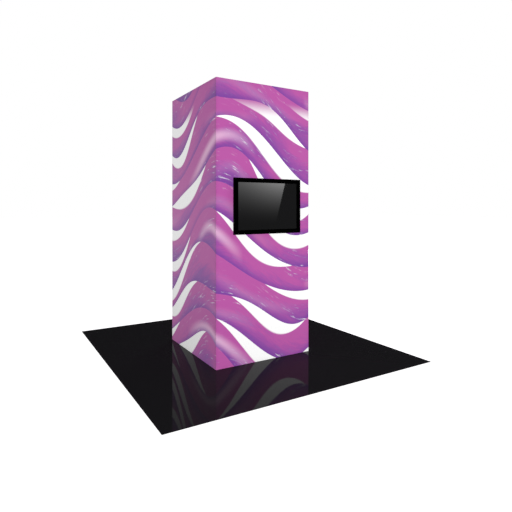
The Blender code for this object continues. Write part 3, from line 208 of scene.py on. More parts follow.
BLACK, WHITE = (0.0, 0.0, 0.0, 1.0), (1.0, 1.0, 1.0, 1.0)
PALE_PINK = screen_colour(236, 196, 224)
MAGENTA = screen_colour(184, 88, 163)
PURPLE = screen_colour(163, 82, 163)
VIOLET = screen_colour(139, 77, 160)
DARK_VIOLET = screen_colour(100, 54, 153)
print("magenta in linear light:", [round(c, 3) for c in MAGENTA[:3]])

# %% [markdown]
# ## One ribbon of the print
# The print is a stack of rolling ribbons, laid over each other like cut paper. Each has a crisp
# upper edge with a white gleam that swells and dies away, and below it the colour deepens from
# pink to violet. One ribbon is built once as a node group, and its shape is left open as numbers.
# The edge is the sum of two sine waves round the tower. They close on themselves after four
# sides, so the print runs round every corner without a break.

# %% Open a group for a ribbon
RIBBON_NUMBERS = ("Turn", "Height", "Streak", "Level", "Swing", "Waves", "Start", "Ripple",
                  "Ripples", "Ripple start", "Gleam", "Gleams", "Gleam start", "Sheen")
ribbon = bpy.data.node_groups.new("ribbon", "ShaderNodeTree")
for label in RIBBON_NUMBERS:
    ribbon.interface.new_socket(label, in_out="INPUT", socket_type="NodeSocketFloat")
ribbon.interface.new_socket("Behind", in_out="INPUT", socket_type="NodeSocketColor")
ribbon.interface.new_socket("Colour", in_out="OUTPUT", socket_type="NodeSocketColor")
given = ribbon.nodes.new("NodeGroupInput").outputs
print("a ribbon takes", len(given) - 1, "inputs")

# %% [markdown]
# A ribbon that climbs steeply would look too thin if its depth were measured straight down. So
# the slope of the edge is worked out as well, and the depth is taken square to the edge. The
# slope of a sine is a cosine, which needs only a few more nodes.

# %% Work out how deep a point lies under the ribbon's edge
turn_for_metre = 2 * math.pi / (4 * side_length)


def wave_angle(count, start):
    """The angle of a wave at this point, from how often it goes round and where it starts."""
    return reckon(ribbon, "MULTIPLY_ADD", given["Turn"], given[count], given[start])


edge, slope = given["Level"], 0.0
for size, count, start in (("Swing", "Waves", "Start"), ("Ripple", "Ripples", "Ripple start")):
    angle = wave_angle(count, start)
    edge = reckon(ribbon, "MULTIPLY_ADD", reckon(ribbon, "SINE", angle), given[size], edge)
    rise = reckon(ribbon, "MULTIPLY", given[size], given[count])
    slope = reckon(ribbon, "MULTIPLY_ADD", reckon(ribbon, "COSINE", angle), rise, slope)
slope = reckon(ribbon, "MULTIPLY", slope, turn_for_metre)
stretch = reckon(ribbon, "SQRT", reckon(ribbon, "MULTIPLY_ADD", slope, slope, 1.0))
depth = reckon(ribbon, "DIVIDE", reckon(ribbon, "SUBTRACT", edge, given["Height"]), stretch)
print("edge and depth take", len(ribbon.nodes), "nodes")

# %% [markdown]
# Now the colour at that depth. The print runs from magenta under a ribbon's edge to violet at its
# foot. Several mixed colours could do that, but a colour ramp holds the whole run in one node.
# The streaks push it to and fro like paint that isn't quite mixed.

# %% Colour the ribbon
RAMP_LENGTH = 0.42  # metres from a ribbon's edge down to the end of the ramp
run = reckon(ribbon, "MULTIPLY_ADD", depth, 1 / RAMP_LENGTH, given["Streak"])
ramp = ribbon.nodes.new("ShaderNodeValToRGB")
feed(ribbon, ramp.inputs["Fac"], run)
stops = [(0.0, MAGENTA), (0.30, MAGENTA), (0.55, PURPLE), (0.85, VIOLET)]
while len(ramp.color_ramp.elements) < len(stops):
    ramp.color_ramp.elements.new(0.5)
for stop, (place, colour) in zip(ramp.color_ramp.elements, stops):
    stop.position = place
    stop.color = colour
print("the ramp has", len(stops), "stops")

# %% [markdown]
# Two lights are printed on each ribbon: a crisp white gleam under its edge and a soft pale sheen
# lower down. They could be painted by hand, but sums on the depth keep them in step with every
# wave. Each swells and dies away round the tower. Near the head of the tower the gleams go out,
# so its outline stays clear against a white hall.

# %% Gleam and sheen
GLEAM_LONGER = 0.35  # above 0, the gleam shows on more than half of the way
GLEAM_GONE, GLEAM_THINNEST = 0.0005, 0.012  # metres of width over which it fades out
GLEAM_CRISP = 0.86  # the share of its width that is full white
HEAD_BARE, HEAD_FADE = 0.16, 0.38  # metres under the head where the gleams are gone, and whole
SHEEN_DEPTH, SHEEN_REACH = 0.20, 0.09  # metres under the edge, and from there to its end
SHEEN_LATER = 2.2  # how much later than the gleam it swells, as an angle

gleam_angle = wave_angle("Gleams", "Gleam start")
swell = reckon(ribbon, "ADD", reckon(ribbon, "SINE", gleam_angle), GLEAM_LONGER)
gleam_width = reckon(ribbon, "MULTIPLY", swell, given["Gleam"])
gleam_width = reckon(ribbon, "MAXIMUM", gleam_width, GLEAM_GONE)
crisp_width = reckon(ribbon, "MULTIPLY", gleam_width, GLEAM_CRISP)
gleam = fade(ribbon, depth, crisp_width, gleam_width, 1.0, 0.0)
bare, whole = top_height - HEAD_BARE, top_height - HEAD_FADE
for share in (fade(ribbon, gleam_width, GLEAM_GONE, GLEAM_THINNEST),
              fade(ribbon, given["Height"], whole, bare, 1.0, 0.0)):
    gleam = reckon(ribbon, "MULTIPLY", gleam, share)
off_sheen = reckon(ribbon, "ABSOLUTE", reckon(ribbon, "SUBTRACT", depth, SHEEN_DEPTH))
near_sheen = fade(ribbon, off_sheen, 0.0, SHEEN_REACH, given["Sheen"], 0.0)
sheen_swell = reckon(ribbon, "SINE", reckon(ribbon, "ADD", gleam_angle, SHEEN_LATER))
sheen = reckon(ribbon, "MULTIPLY", near_sheen, reckon(ribbon, "MAXIMUM", sheen_swell, 0.0))
print("gleam under the edge, sheen", SHEEN_DEPTH, "m lower")

# %% [markdown]
# Last, the ribbon is laid over what is behind it, and throws a soft shade on that. The shade is
# what makes a flat print look like layers. It could be painted along every edge, but the depth
# already tells how near the edge is, so one fade gives it.

# %% Lay the ribbon over what is behind it
SHADE_REACH = 0.07  # metres above the edge that the shade reaches
SHADE_STRENGTH = 0.40
shade = fade(ribbon, depth, -SHADE_REACH, 0.0, 0.0, SHADE_STRENGTH)
shaded = mix_colours(ribbon, shade, given["Behind"], DARK_VIOLET)
pale = mix_colours(ribbon, sheen, ramp.outputs["Color"], PALE_PINK)
coloured = mix_colours(ribbon, gleam, pale, WHITE)
covered = reckon(ribbon, "GREATER_THAN", depth, 0.0)
laid = mix_colours(ribbon, covered, shaded, coloured)
ribbon.links.new(laid, ribbon.nodes.new("NodeGroupOutput").inputs["Colour"])
print("a ribbon is", len(ribbon.nodes), "nodes")

# %% [markdown]
# ## The printed fabric
# Twelve ribbons are stacked from the top down, each a little lower than the last and a little
# out of step with it, so the waves roll. All their numbers come from short sums on the ribbon's
# place in the stack, which is quicker to change than a long table.

# %% Stack the ribbons
RIBBONS = 12
TOP_LEVEL = 3.60
LEVEL_STEP = 0.33


def ribbon_values(order):
    """The numbers of one ribbon, from its place in the stack."""
    return {
        "Level": TOP_LEVEL - LEVEL_STEP * order, "Swing": 0.30 + 0.06 * math.sin(1.9 * order),
        "Waves": 2.0, "Start": 0.6 + 0.18 * order,
        "Ripple": 0.06 + 0.025 * math.cos(2.3 * order), "Ripples": 3.0 + order % 2,
        "Ripple start": 1.3 * order, "Gleam": 0.115 + 0.025 * math.sin(1.1 * order + 2.6),
        "Gleams": 2.0 + order % 2, "Gleam start": 5.2 + 0.9 * math.sin(2.1 * order),
        "Sheen": 0.75 if order % 3 == 1 else 0.15,
    }


def stack_ribbons(tree, turn, height, streak):
    """The colour of the print at a point."""
    colour = PURPLE
    for order in range(RIBBONS):
        node = tree.nodes.new("ShaderNodeGroup")
        node.node_tree = ribbon
        values = {"Turn": turn, "Height": height, "Streak": streak, "Behind": colour}
        feed_all(tree, node, {**values, **ribbon_values(order)})
        colour = node.outputs["Colour"]
    return colour


print("ribbons from", TOP_LEVEL, "m down to", round(TOP_LEVEL - LEVEL_STEP * (RIBBONS - 1), 3), "m")

# %% [markdown]
# The print has to know how far round the tower a point is, and how high, in metres. A map on the
# cloth's own mesh tells it that, and stays right wherever the tower is put. The streaks in the
# ink and the small wet glints could be drawn one by one. Here they come from noise that is read
# along the main wave, so they follow the ribbons. The glints gather in patches, as on poured
# paint.

# %% Read the map and make the streaks
MAIN_WAVES, MAIN_START, MAIN_SWING = 2.0, 1.6, 0.30  # the wave that the streaks follow
STREAK_THINNESS = 7.0  # how much finer they are across the wave than along it
BROAD, FINE = (0.7, 2.0, 0.5), (5.0, 5.0, 0.65)  # scale, detail and roughness of the noise
BROAD_PUSH, FINE_PUSH = 1.2, 0.8  # how far each pushes the colour
PATCHES, GLINTS = (0.47, 0.60), (0.56, 0.72)  # the noise values over which they come up
BETWEEN_PATCHES = 0.05  # how strong the glints are there, as a share
GLINT_WHITE = 0.65  # how white a glint is


def print_map(tree):
    """How far round the tower a point is, and how high, in metres."""
    uv = tree.nodes.new("ShaderNodeUVMap")
    uv.uv_map = "print"
    return axes(tree, uv.outputs["UV"])[:2]


def ink_streaks(tree, turn, height):
    """Streaks along the ribbons, from about -0.25 to 0.25, and the share of white glints."""
    wave = reckon(tree, "SINE", reckon(tree, "MULTIPLY_ADD", turn, MAIN_WAVES, MAIN_START))
    across = reckon(tree, "MULTIPLY_ADD", wave, -MAIN_SWING, height)
    node = tree.nodes.new("ShaderNodeCombineXYZ")
    feed_all(tree, node, {"X": reckon(tree, "COSINE", turn), "Y": reckon(tree, "SINE", turn),
                          "Z": reckon(tree, "MULTIPLY", across, STREAK_THINNESS)})
    place = node.outputs["Vector"]
    broad, fine = grain(tree, *BROAD, place), grain(tree, *FINE, place)
    both = reckon(tree, "MULTIPLY", broad, BROAD_PUSH)
    both = reckon(tree, "MULTIPLY_ADD", fine, FINE_PUSH, both)
    patches = fade(tree, broad, *PATCHES, BETWEEN_PATCHES)
    glints = reckon(tree, "MULTIPLY", patches, fade(tree, fine, *GLINTS, 0.0, GLINT_WHITE))
    return reckon(tree, "SUBTRACT", both, 1.0), glints


print("streaks follow a wave that runs", int(MAIN_WAVES), "times round the tower")

# %% [markdown]
# The fabric is a fine knitted polyester. Close up it shows its knit, and a line of stitches that
# holds the edge trim. The loops are far too many to model. They repeat at a fixed pitch, and the
# stitches lie at a fixed distance from the edges, so both are worked out from the same map.

# %% Knit, stitches and the seam
KNIT_PITCH = 0.0011
STITCH_FROM_EDGE = 0.006
STITCH_LENGTH = 0.004
STITCH_WIDTH = 0.0005  # to each side of the line
STITCH_SHARE = 0.7  # the rest of each length is a gap


def edge_distance(tree, around, height):
    """How far a point is from the nearest edge of its face."""
    side = reckon(tree, "PINGPONG", around, side_length / 2)
    end = reckon(tree, "PINGPONG", height, (top_height - sheet_top) / 2)
    return reckon(tree, "MINIMUM", side, end)


def stitches(tree, distance, around, height):
    """One where a stitch lies, and zero elsewhere."""
    off_line = reckon(tree, "ABSOLUTE", reckon(tree, "SUBTRACT", distance, STITCH_FROM_EDGE))
    on_line = reckon(tree, "LESS_THAN", off_line, STITCH_WIDTH)
    along = reckon(tree, "ADD", around, height)
    share = reckon(tree, "FRACT", reckon(tree, "DIVIDE", along, STITCH_LENGTH))
    return reckon(tree, "MULTIPLY", on_line, reckon(tree, "LESS_THAN", share, STITCH_SHARE))


def knit(tree, around, height):
    """Rows of small loops."""
    bend = 2 * math.pi / KNIT_PITCH
    waves = [reckon(tree, "SINE", reckon(tree, "MULTIPLY", way, bend)) for way in (around, height)]
    return reckon(tree, "MULTIPLY", *waves)


print("stitches every", STITCH_LENGTH * 1000, "mm,", STITCH_FROM_EDGE * 1000, "mm in from the edge")

# %% [markdown]
# A backlit fabric has two looks at once. Ink and cloth reflect the room's light like paper, and
# the lamps inside shine through in the ink's own colour. Real lamps and real translucency would
# cost much time and noise, and a stretched backlit face is even by design. So the glow is
# emission in the colour of the print, a little weaker at the hems, where the frame is behind it.

# %% Make the printed fabric
GLOW = 0.44
HEM_GLOW, HEM_REACH = 0.90, 0.05  # share of the glow at the edge, and metres to full glow
THREAD_TONE = 0.35  # how dark the stitches are
YARN_SCALE, YARN_UNEVEN = 900.0, 0.06  # the glow is a little weaker through thick yarn
FABRIC_RELIEF = 0.0006
SLACK, LOOPS, THREAD_DENT = 4.0, 0.1, 0.5  # how much each has of the relief

printed, tree, shader = new_finish("printed_fabric_lit")
around, height = print_map(tree)
turn = reckon(tree, "MULTIPLY", around, turn_for_metre)
streaks, glints = ink_streaks(tree, turn, height)
colour = mix_colours(tree, glints, stack_ribbons(tree, turn, height, streaks), WHITE)
distance = edge_distance(tree, around, height)
thread = stitches(tree, distance, around, height)
colour = mix_colours(tree, reckon(tree, "MULTIPLY", thread, THREAD_TONE), colour, DARK_VIOLET)
glow_share = fade(tree, distance, 0.0, HEM_REACH, HEM_GLOW, 1.0)
mottle = reckon(tree, "MULTIPLY_ADD", grain(tree, YARN_SCALE), YARN_UNEVEN,
                1 - YARN_UNEVEN / 2)
lit = mix_colours(tree, reckon(tree, "MULTIPLY", glow_share, mottle), BLACK, colour)
feed_all(tree, shader, {"Base Color": colour, "Emission Color": lit, "Emission Strength": GLOW,
                        "Roughness": 0.85, "Specular IOR Level": 0.2, "Sheen Weight": 0.3})
raised = reckon(tree, "MULTIPLY", grain(tree, 5.0), SLACK)
raised = reckon(tree, "MULTIPLY_ADD", knit(tree, around, height), LOOPS, raised)
raised = reckon(tree, "SUBTRACT", raised, reckon(tree, "MULTIPLY", thread, THREAD_DENT))
relief(tree, shader, raised, FABRIC_RELIEF)
print("printed fabric:", len(tree.nodes), "nodes and", RIBBONS, "ribbons of", len(ribbon.nodes))

# %% [markdown]
# ## The four fabric faces
# Each face is one piece of cloth, pulled flat. At the corners it turns in and runs along the
# diagonal into a slot of the post, where a bead holds it. It isn't simulated: cloth that is
# stretched on a frame takes the frame's shape. Its cross-section is drawn once as a line of
# points and swept upwards, and the turn at the corner is a small curve so that it catches light.

# %% Draw the cloth's cross-section
CLOTH = 0.0007  # thickness of the knitted fabric
CORNER_TURN = 0.0012  # how soon the cloth starts to turn in at a corner
WEB_DEPTH = 0.0072  # how far it runs into the post's slot
WEB_OFF_MITRE = 0.0006  # from the diagonal to the middle of the cloth
FACE_STEPS = 24
TURN_STEPS = 4
cloth_middle = face - CLOTH / 2
corner_point = Vector((WEB_OFF_MITRE * math.sqrt(2) - cloth_middle, -cloth_middle))
inward = Vector((1, 1)).normalized()


def cloth_section():
    """The middle line of the cloth from slot to slot, seen from above, for the front face."""
    web_length = (post_outside + corner_point.x) * math.sqrt(2) + WEB_DEPTH
    left = [corner_point + inward * web_length * share for share in (1.0, 0.6)]
    start, end = corner_point + inward * CORNER_TURN, corner_point + Vector((CORNER_TURN, 0))
    for step in range(TURN_STEPS + 1):
        t = step / TURN_STEPS
        left.append(start.lerp(corner_point, t).lerp(corner_point.lerp(end, t), t))
    right = [Vector((-p.x, p.y)) for p in reversed(left)]
    between = [left[-1].lerp(right[0], step / FACE_STEPS) for step in range(1, FACE_STEPS)]
    return left + between + right


section = cloth_section()

# %% [markdown]
# The section is drawn upwards in rows, once for the outside of the cloth and once for its inside,
# and closed all round, so that the sheet is a real body. A flat plane thickened by a modifier
# would be shorter to write, but its turned-in edges have to end lower than its face, where the
# post ends. Every corner of the mesh is also given its place on the print map.

# %% Sweep it into a sheet of cloth
CLOTH_ROWS = 40


def join_loops(mesh, loops):
    """Faces between each ring of points and the next."""
    for a, b in zip(loops, loops[1:]):
        for i in range(len(a)):
            j = (i + 1) % len(a)
            mesh.faces.new((a[i], a[j], b[j], b[i]))


def section_outline(line):
    """Once round the cloth's section: half a thickness outside the middle line, and back inside."""
    outside, inside = [], []
    for i, point in enumerate(line):
        along = (line[min(i + 1, len(line) - 1)] - line[max(i - 1, 0)]).normalized()
        out = Vector((along.y, -along.x)) * CLOTH / 2
        outside.append(point + out)
        inside.append(point - out)
    return outside + inside[::-1]


def cloth_mesh(side):
    """A closed sheet of cloth with its print map, turned to its side of the tower."""
    mesh = bmesh.new()
    uv = mesh.loops.layers.uv.new("print")
    turned = Matrix.Rotation(math.radians(90 * side), 4, "Z")
    loops = []
    for row in range(CLOTH_ROWS + 1):
        z = hem_height + (top_height - hem_height) * row / CLOTH_ROWS
        loops.append([])
        for p in section_outline(section):
            tucked = max(abs(p.x), abs(p.y)) < post_outside
            place = Vector((p.x, p.y, min(z, frame_high.z) if tucked else z))
            loops[-1].append(mesh.verts.new(turned @ place))
    join_loops(mesh, loops)
    for loop, step in ((loops[0], 1), (loops[-1], -1)):
        for i in range(len(section) - 1):
            mesh.faces.new((loop[i], loop[-1 - i], loop[-2 - i], loop[i + 1])[::step])
    back = turned.inverted()
    for corner in (corner for f in mesh.faces for corner in f.loops):
        x = max(-post_outside, min(post_outside, (back @ corner.vert.co).x))
        corner[uv].uv = (side * side_length + post_outside + x, corner.vert.co.z - sheet_top)
    return mesh


print("sheets of", CLOTH_ROWS, "rows and", len(section) - 1, "columns")

# %% [markdown]
# The next helpers turn a mesh into a piece that rides on a body of the model, and cut holes. A
# hole could be left out while the mesh is drawn, but the rows would have to go round it. Each
# sheet is a closed body, so a Boolean cuts it cleanly.

# %% Helpers that place pieces and cut holes
def new_item(name, mesh):
    """Makes an object from a mesh and puts it in the scene."""
    data = bpy.data.meshes.new(name)
    mesh.to_mesh(data)
    mesh.free()
    item = bpy.data.objects.new(name, data)
    bpy.context.scene.collection.objects.link(item)
    return item


def place_piece(name, mesh, finish, body="root"):
    """Makes a piece with its finish, and lets it ride on a body."""
    item = new_item(name, mesh)
    item.data.materials.append(finish)
    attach(item, body)
    return item


def smooth_up_to(item, degrees):
    """Smooth shading, but sharp where two faces meet at more than some degrees."""
    item.data.shade_smooth()
    item.data.set_sharp_from_angle(angle=math.radians(degrees))


def cut_hole(item, cutter_mesh):
    """Takes a closed mesh out of a piece, and applies the cut."""
    bmesh.ops.recalc_face_normals(cutter_mesh, faces=cutter_mesh.faces)
    cutter = new_item("cutter", cutter_mesh)
    modifier = item.modifiers.new("hole", "BOOLEAN")
    modifier.operation = "DIFFERENCE"
    modifier.solver = "EXACT"
    modifier.object = cutter
    graph = bpy.context.evaluated_depsgraph_get()
    opened = bpy.data.meshes.new_from_object(item.evaluated_get(graph))
    item.modifiers.clear()
    item.data = opened
    bpy.data.objects.remove(cutter)


print("helpers: new_item, place_piece, smooth_up_to, cut_hole")

# %% [markdown]
# The stand-offs and the cable pass through round holes behind the monitor, and the mains inlet
# through a square one low on the rear. Typed places would be wrong once a part moved, so each
# hole is placed from the solid that goes through it.

# %% Cutters for the holes
STANDOFF_HOLE, CABLE_HOLE = 0.012, 0.0055  # radii
HOLE_SIDES = 24
HOLE_REACH = 0.02
INLET_CLEARANCE = 0.001


def middle_of(points):
    """The middle of the box round some points."""
    return Vector([(min(axis) + max(axis)) / 2 for axis in zip(*points)])


def round_cutter(middle, radius):
    """A round cutter along Y through a place on the front face."""
    mesh = bmesh.new()
    bmesh.ops.create_cone(mesh, cap_ends=True, segments=HOLE_SIDES, radius1=radius, radius2=radius,
                          depth=HOLE_REACH, matrix=Matrix.Translation((middle.x, -face, middle.z))
                          @ Matrix.Rotation(math.radians(90), 4, "X"))
    return mesh


def square_cutter(node, clearance):
    """A square cutter round a solid, a little larger than it."""
    low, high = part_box(node)
    size = high - low + Vector((2 * clearance,) * 3)
    mesh = bmesh.new()
    bmesh.ops.create_cube(mesh, size=1.0, matrix=Matrix.Translation((low + high) / 2)
                          @ Matrix.Diagonal((*size, 1.0)))
    return mesh


print("round cutters of", STANDOFF_HOLE, "and", CABLE_HOLE, "m, and one square one")

# %% [markdown]
# The four sheets now stand in for the plain ones of the CAD model, which stay behind for collision,
# hidden. The stand-offs are placed by their boxes. The cable bends, so only its stretch near the
# cloth says where its hole goes.

# %% Sew the four faces
SIDES = ("front", "right", "rear", "left")
faces = {}
for side, name in enumerate(SIDES):
    faces[name] = place_piece("cloth_" + name, cloth_mesh(side), printed)
    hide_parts("fabric_" + name)
for row in ("lower", "upper"):
    for hand in ("left", "right"):
        middle = middle_of(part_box("standoff_" + row + "_" + hand))
        cut_hole(faces["front"], round_cutter(middle, STANDOFF_HOLE))
cable = nodes["monitor_cable"]
on_cable = [cable.matrix_world @ v.co for v in cable.data.vertices]
passing = [p for p in on_cable if abs(p.y + face) < HOLE_REACH / 2]
cut_hole(faces["front"], round_cutter(middle_of(passing), CABLE_HOLE))
cut_hole(faces["rear"], square_cutter("inlet_module", INLET_CLEARANCE))
for item in faces.values():
    smooth_up_to(item, 50)
print("cable hole at", [round(v, 4) for v in middle_of(passing)])
print({name: len(item.data.vertices) for name, item in faces.items()})

# %% [markdown]
# The edge trim is what holds the cloth: flat silicone strips pressed into the rails, and square
# beads that slide down the posts. It is sewn on, so it goes wherever its face goes. It can't be
# seen while the tower stands, but it shows when a face is taken off. Each face gets one piece,
# made from four long blocks with softened edges.

# %% Shape the edge trim
STRIP_FROM_EDGE = 0.0043
STRIP_THICKNESS = 0.003
STRIP_DEPTH = 0.0115
BEAD_DEPTH = 0.0036
BEAD_WIDTH = 0.0034
BEAD_OFF_CLOTH, BEAD_OFF_MITRE = 0.0001, 0.0002
SOFT_EDGE = 0.0004


def add_bar(mesh, outline, place, low, high):
    """A long bar: an outline drawn out from low to high along the place's Z."""
    ends = [[mesh.verts.new(place @ Vector((x, y, z))) for x, y in outline] for z in (low, high)]
    join_loops(mesh, ends)
    mesh.faces.new(ends[0][::-1])
    mesh.faces.new(ends[1])


def trim_mesh(side):
    """The strips and beads of one face."""
    mesh = bmesh.new()
    turned = Matrix.Rotation(math.radians(90 * side), 4, "Z")
    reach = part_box("bottom_rail_front")[1].x
    along_x = turned @ Matrix(((0, 0, 1, 0), (1, 0, 0, 0), (0, 1, 0, 0), (0, 0, 0, 1)))
    for edge, up in ((frame_low.z, 1), (frame_high.z, -1)):
        z = sorted((edge + up * STRIP_FROM_EDGE, edge + up * (STRIP_FROM_EDGE + STRIP_THICKNESS)))
        y = (-post_outside, STRIP_DEPTH - post_outside)
        outline = [(y[0], z[0]), (y[1], z[0]), (y[1], z[1]), (y[0], z[1])]
        add_bar(mesh, outline, along_x, -reach, reach)
    near = WEB_DEPTH + BEAD_OFF_CLOTH
    far = near + BEAD_DEPTH
    for end, angle in ((-1, 45), (1, 135)):
        corner = turned @ Matrix.Translation((end * post_outside, -post_outside, 0))
        corner = corner @ Matrix.Rotation(math.radians(angle), 4, "Z")
        y = (end * BEAD_OFF_MITRE, end * (BEAD_OFF_MITRE + BEAD_WIDTH))
        outline = [(near, y[0]), (far, y[0]), (far, y[1]), (near, y[1])]
        add_bar(mesh, outline, corner, frame_low.z, frame_high.z)
    bmesh.ops.recalc_face_normals(mesh, faces=mesh.faces)
    long_edges = [e for e in mesh.edges if e.calc_length() > side_length / 2]
    bmesh.ops.bevel(mesh, geom=long_edges, offset=SOFT_EDGE, segments=2, affect="EDGES")
    return mesh


print("trim:", STRIP_THICKNESS * 1000, "mm strips,", BEAD_WIDTH * 1000, "mm beads")

# %% [markdown]
# ## Plain finishes
# Most solids are metal, plastic or rubber. They differ in colour and shine, but what makes any of
# them believable is the same: the shine isn't quite even, and the skin has a fine relief. A tree
# could be wired for each, but one function makes them all from a row of numbers.

# %% A finish for metal and plastic
def solid_finish(name, colour, roughness, metallic, blots, uneven, relief_depth, relief_scale,
                 tint=0.06, stretch=(1.0, 1.0, 1.0)):
    """A finish with uneven shine, a faint change of tone and a fine relief."""
    finish, tree, shader = new_finish(name)
    place = drawn_out(tree, stretch)
    cloud = grain(tree, blots, 4.0, place=place)
    skin = grain(tree, relief_scale, place=place)
    dark = (*(c * (1 - tint) for c in colour), 1.0)
    light = (*(min(1.0, c * (1 + tint)) for c in colour), 1.0)
    shine = reckon(tree, "MULTIPLY_ADD", cloud, uneven, roughness - uneven / 2)
    feed_all(tree, shader, {"Base Color": mix_colours(tree, cloud, dark, light),
                            "Roughness": shine, "Metallic": metallic})
    relief(tree, shader, skin, relief_depth)
    return finish


print("helper: solid_finish")

# %% [markdown]
# Extruded aluminium carries fine lines along its length from the die, so its grain is drawn out
# along the post or rail. Zinc plate is mottled instead, folded sheet is rolled and a little
# blotchy, and powder coat is an even skin of tiny pebbles.

# %% Metals
# colour, roughness, metallic, blots in a metre, unevenness, relief depth and scale, tint, stretch
ALUMINIUM = ((0.72, 0.73, 0.74), 0.34, 1.0, 60.0, 0.10, 1e-5, 2500.0, 0.04)
METALS = {
    "aluminium_upright": (*ALUMINIUM, (1.0, 1.0, 0.02)),
    "aluminium_along_x": (*ALUMINIUM, (0.02, 1.0, 1.0)),
    "aluminium_along_y": (*ALUMINIUM, (1.0, 0.02, 1.0)),
    "turned_aluminium": ((0.70, 0.71, 0.72), 0.30, 1.0, 90.0, 0.10, 1e-5, 3000.0, 0.04,
                         (1.0, 0.2, 1.0)),
    "zinc_plate": ((0.58, 0.60, 0.62), 0.38, 1.0, 240.0, 0.22, 1e-5, 900.0, 0.14),
    "folded_steel": ((0.52, 0.53, 0.55), 0.44, 1.0, 25.0, 0.20, 1e-5, 700.0, 0.10),
    "black_powder_coat": ((0.020, 0.020, 0.021), 0.50, 0.2, 50.0, 0.08, 4e-5, 1400.0),
    "white_enamel": ((0.80, 0.80, 0.79), 0.42, 0.0, 30.0, 0.10, 3e-5, 900.0, 0.02),
}
finishes = {name: solid_finish(name, *numbers) for name, numbers in METALS.items()}
print("metals:", list(METALS))

# %% [markdown]
# The monitor's mouldings are black plastic with a fine spark-eroded texture, so they look almost
# matt and never show a sharp reflection. The lamp bars, the inner boxes and the cable sheaths
# are plainer, but each has its own skin.

# %% Plastics and rubber
# colour, roughness, metallic, blots in a metre, unevenness, relief depth and scale, tint
PLASTICS = {
    "satin_moulding": ((0.0005, 0.0005, 0.0006), 0.48, 0.0, 60.0, 0.06, 3e-5, 2200.0),
    "grey_moulding": ((0.30, 0.31, 0.32), 0.50, 0.0, 50.0, 0.10, 3e-5, 1500.0),
    "rocker_moulding": ((0.16, 0.012, 0.010), 0.30, 0.0, 70.0, 0.05, 5e-6, 900.0),
    "key_moulding": ((0.020, 0.020, 0.021), 0.40, 0.0, 60.0, 0.08, 2e-5, 2200.0),
    "inlet_moulding": ((0.045, 0.045, 0.047), 0.38, 0.0, 60.0, 0.08, 2e-5, 1800.0),
    "back_moulding": ((0.014, 0.014, 0.015), 0.46, 0.0, 60.0, 0.08, 3e-5, 1600.0),
    "silicone_trim": ((0.74, 0.74, 0.71), 0.55, 0.0, 80.0, 0.12, 2e-5, 1200.0, 0.04),
    "cable_sheath": ((0.018, 0.018, 0.018), 0.55, 0.0, 120.0, 0.12, 2e-5, 1600.0),
    "board_green": ((0.02, 0.17, 0.07), 0.45, 0.0, 300.0, 0.20, 1e-4, 260.0, 0.30),
    "gasket_rubber": ((0.004, 0.004, 0.004), 0.62, 0.0, 90.0, 0.08, 2e-5, 1500.0),
    "sensor_plastic": ((0.010, 0.002, 0.003), 0.10, 0.0, 60.0, 0.04, 5e-6, 900.0),
    "lamp_plastic": ((0.05, 0.06, 0.06), 0.25, 0.0, 60.0, 0.05, 5e-6, 900.0),
}
for name, numbers in PLASTICS.items():
    finishes[name] = solid_finish(name, *numbers)
SATIN_GLOSS = 0.15  # the monitor's frame mirrors less than plain plastic
satin = finishes["satin_moulding"].node_tree.nodes["Principled BSDF"]
satin.inputs["Specular IOR Level"].default_value = SATIN_GLOSS
print("plastics:", list(PLASTICS))

# %% [markdown]
# A lamp bar is a white-painted metal strip with clear lens domes over its lamps. Both are one
# solid. The domes are told from the strip by how far they stand out from the mast, which the
# shader can measure from the point's own place.

# %% Lamp bars with glowing domes
LAMP_GLOW = 2.0
LAMP_COLOUR, STRIP_COLOUR = (1.0, 0.93, 0.82, 1.0), (0.70, 0.71, 0.72, 1.0)
DOME_HEIGHT = 0.005  # how far a dome stands out from its strip
DOME_FADE = (0.0005, 0.0015)  # metres above the strip over which the glow comes up
bar_face = -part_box("led_bar_front")[0].y - DOME_HEIGHT

finishes["lamp_bar"], tree, shader = new_finish("lamp_bar")
out = [reckon(tree, "ABSOLUTE", way) for way in axes(tree, object_place(tree))[:2]]
dome = fade(tree, reckon(tree, "MAXIMUM", *out), *(bar_face + rise for rise in DOME_FADE))
cloud = grain(tree, 60.0)
feed_all(tree, shader, {
    "Base Color": mix_colours(tree, dome, STRIP_COLOUR, LAMP_COLOUR),
    "Emission Color": mix_colours(tree, dome, BLACK, LAMP_COLOUR), "Emission Strength": LAMP_GLOW,
    "Roughness": reckon(tree, "MULTIPLY_ADD", cloud, 0.2, 0.2)})
relief(tree, shader, grain(tree, 900.0), 1e-5)
print("domes start", round(bar_face, 4), "m from the middle of the mast")

# %% [markdown]
# ## The gloss floor sheet
# The sheet is black, as smooth as still water, and mirrors the foot of the tower faintly. A real
# black floor reflects more and more towards the horizon. A low index of refraction keeps that
# reflection as faint as in the photo. A trace of dust and wiping marks in the roughness keeps it
# from looking like a hole.

# %% Gloss black with a faint mirror image
FLOOR_INDEX = 1.11
FLOOR_BLACK, FLOOR_DUST = (0.0215, 0.0215, 0.0235, 1.0), (0.033, 0.033, 0.035, 1.0)
finishes["gloss_floor"], tree, shader = new_finish("gloss_floor")
marks = grain(tree, 2.5, 4.0, place=drawn_out(tree, (1.0, 5.0, 1.0), 0.6))
specks = fade(tree, grain(tree, 700.0, 3.0), 0.70, 0.78, 0.0, 0.35)
feed_all(tree, shader, {"Base Color": mix_colours(tree, specks, FLOOR_BLACK, FLOOR_DUST),
                        "Roughness": fade(tree, marks, 0.35, 0.70, 0.025, 0.055),
                        "IOR": FLOOR_INDEX})
relief(tree, shader, grain(tree, 3.0), 0.0002, 0.3)
print("floor sheet: index", FLOOR_INDEX)

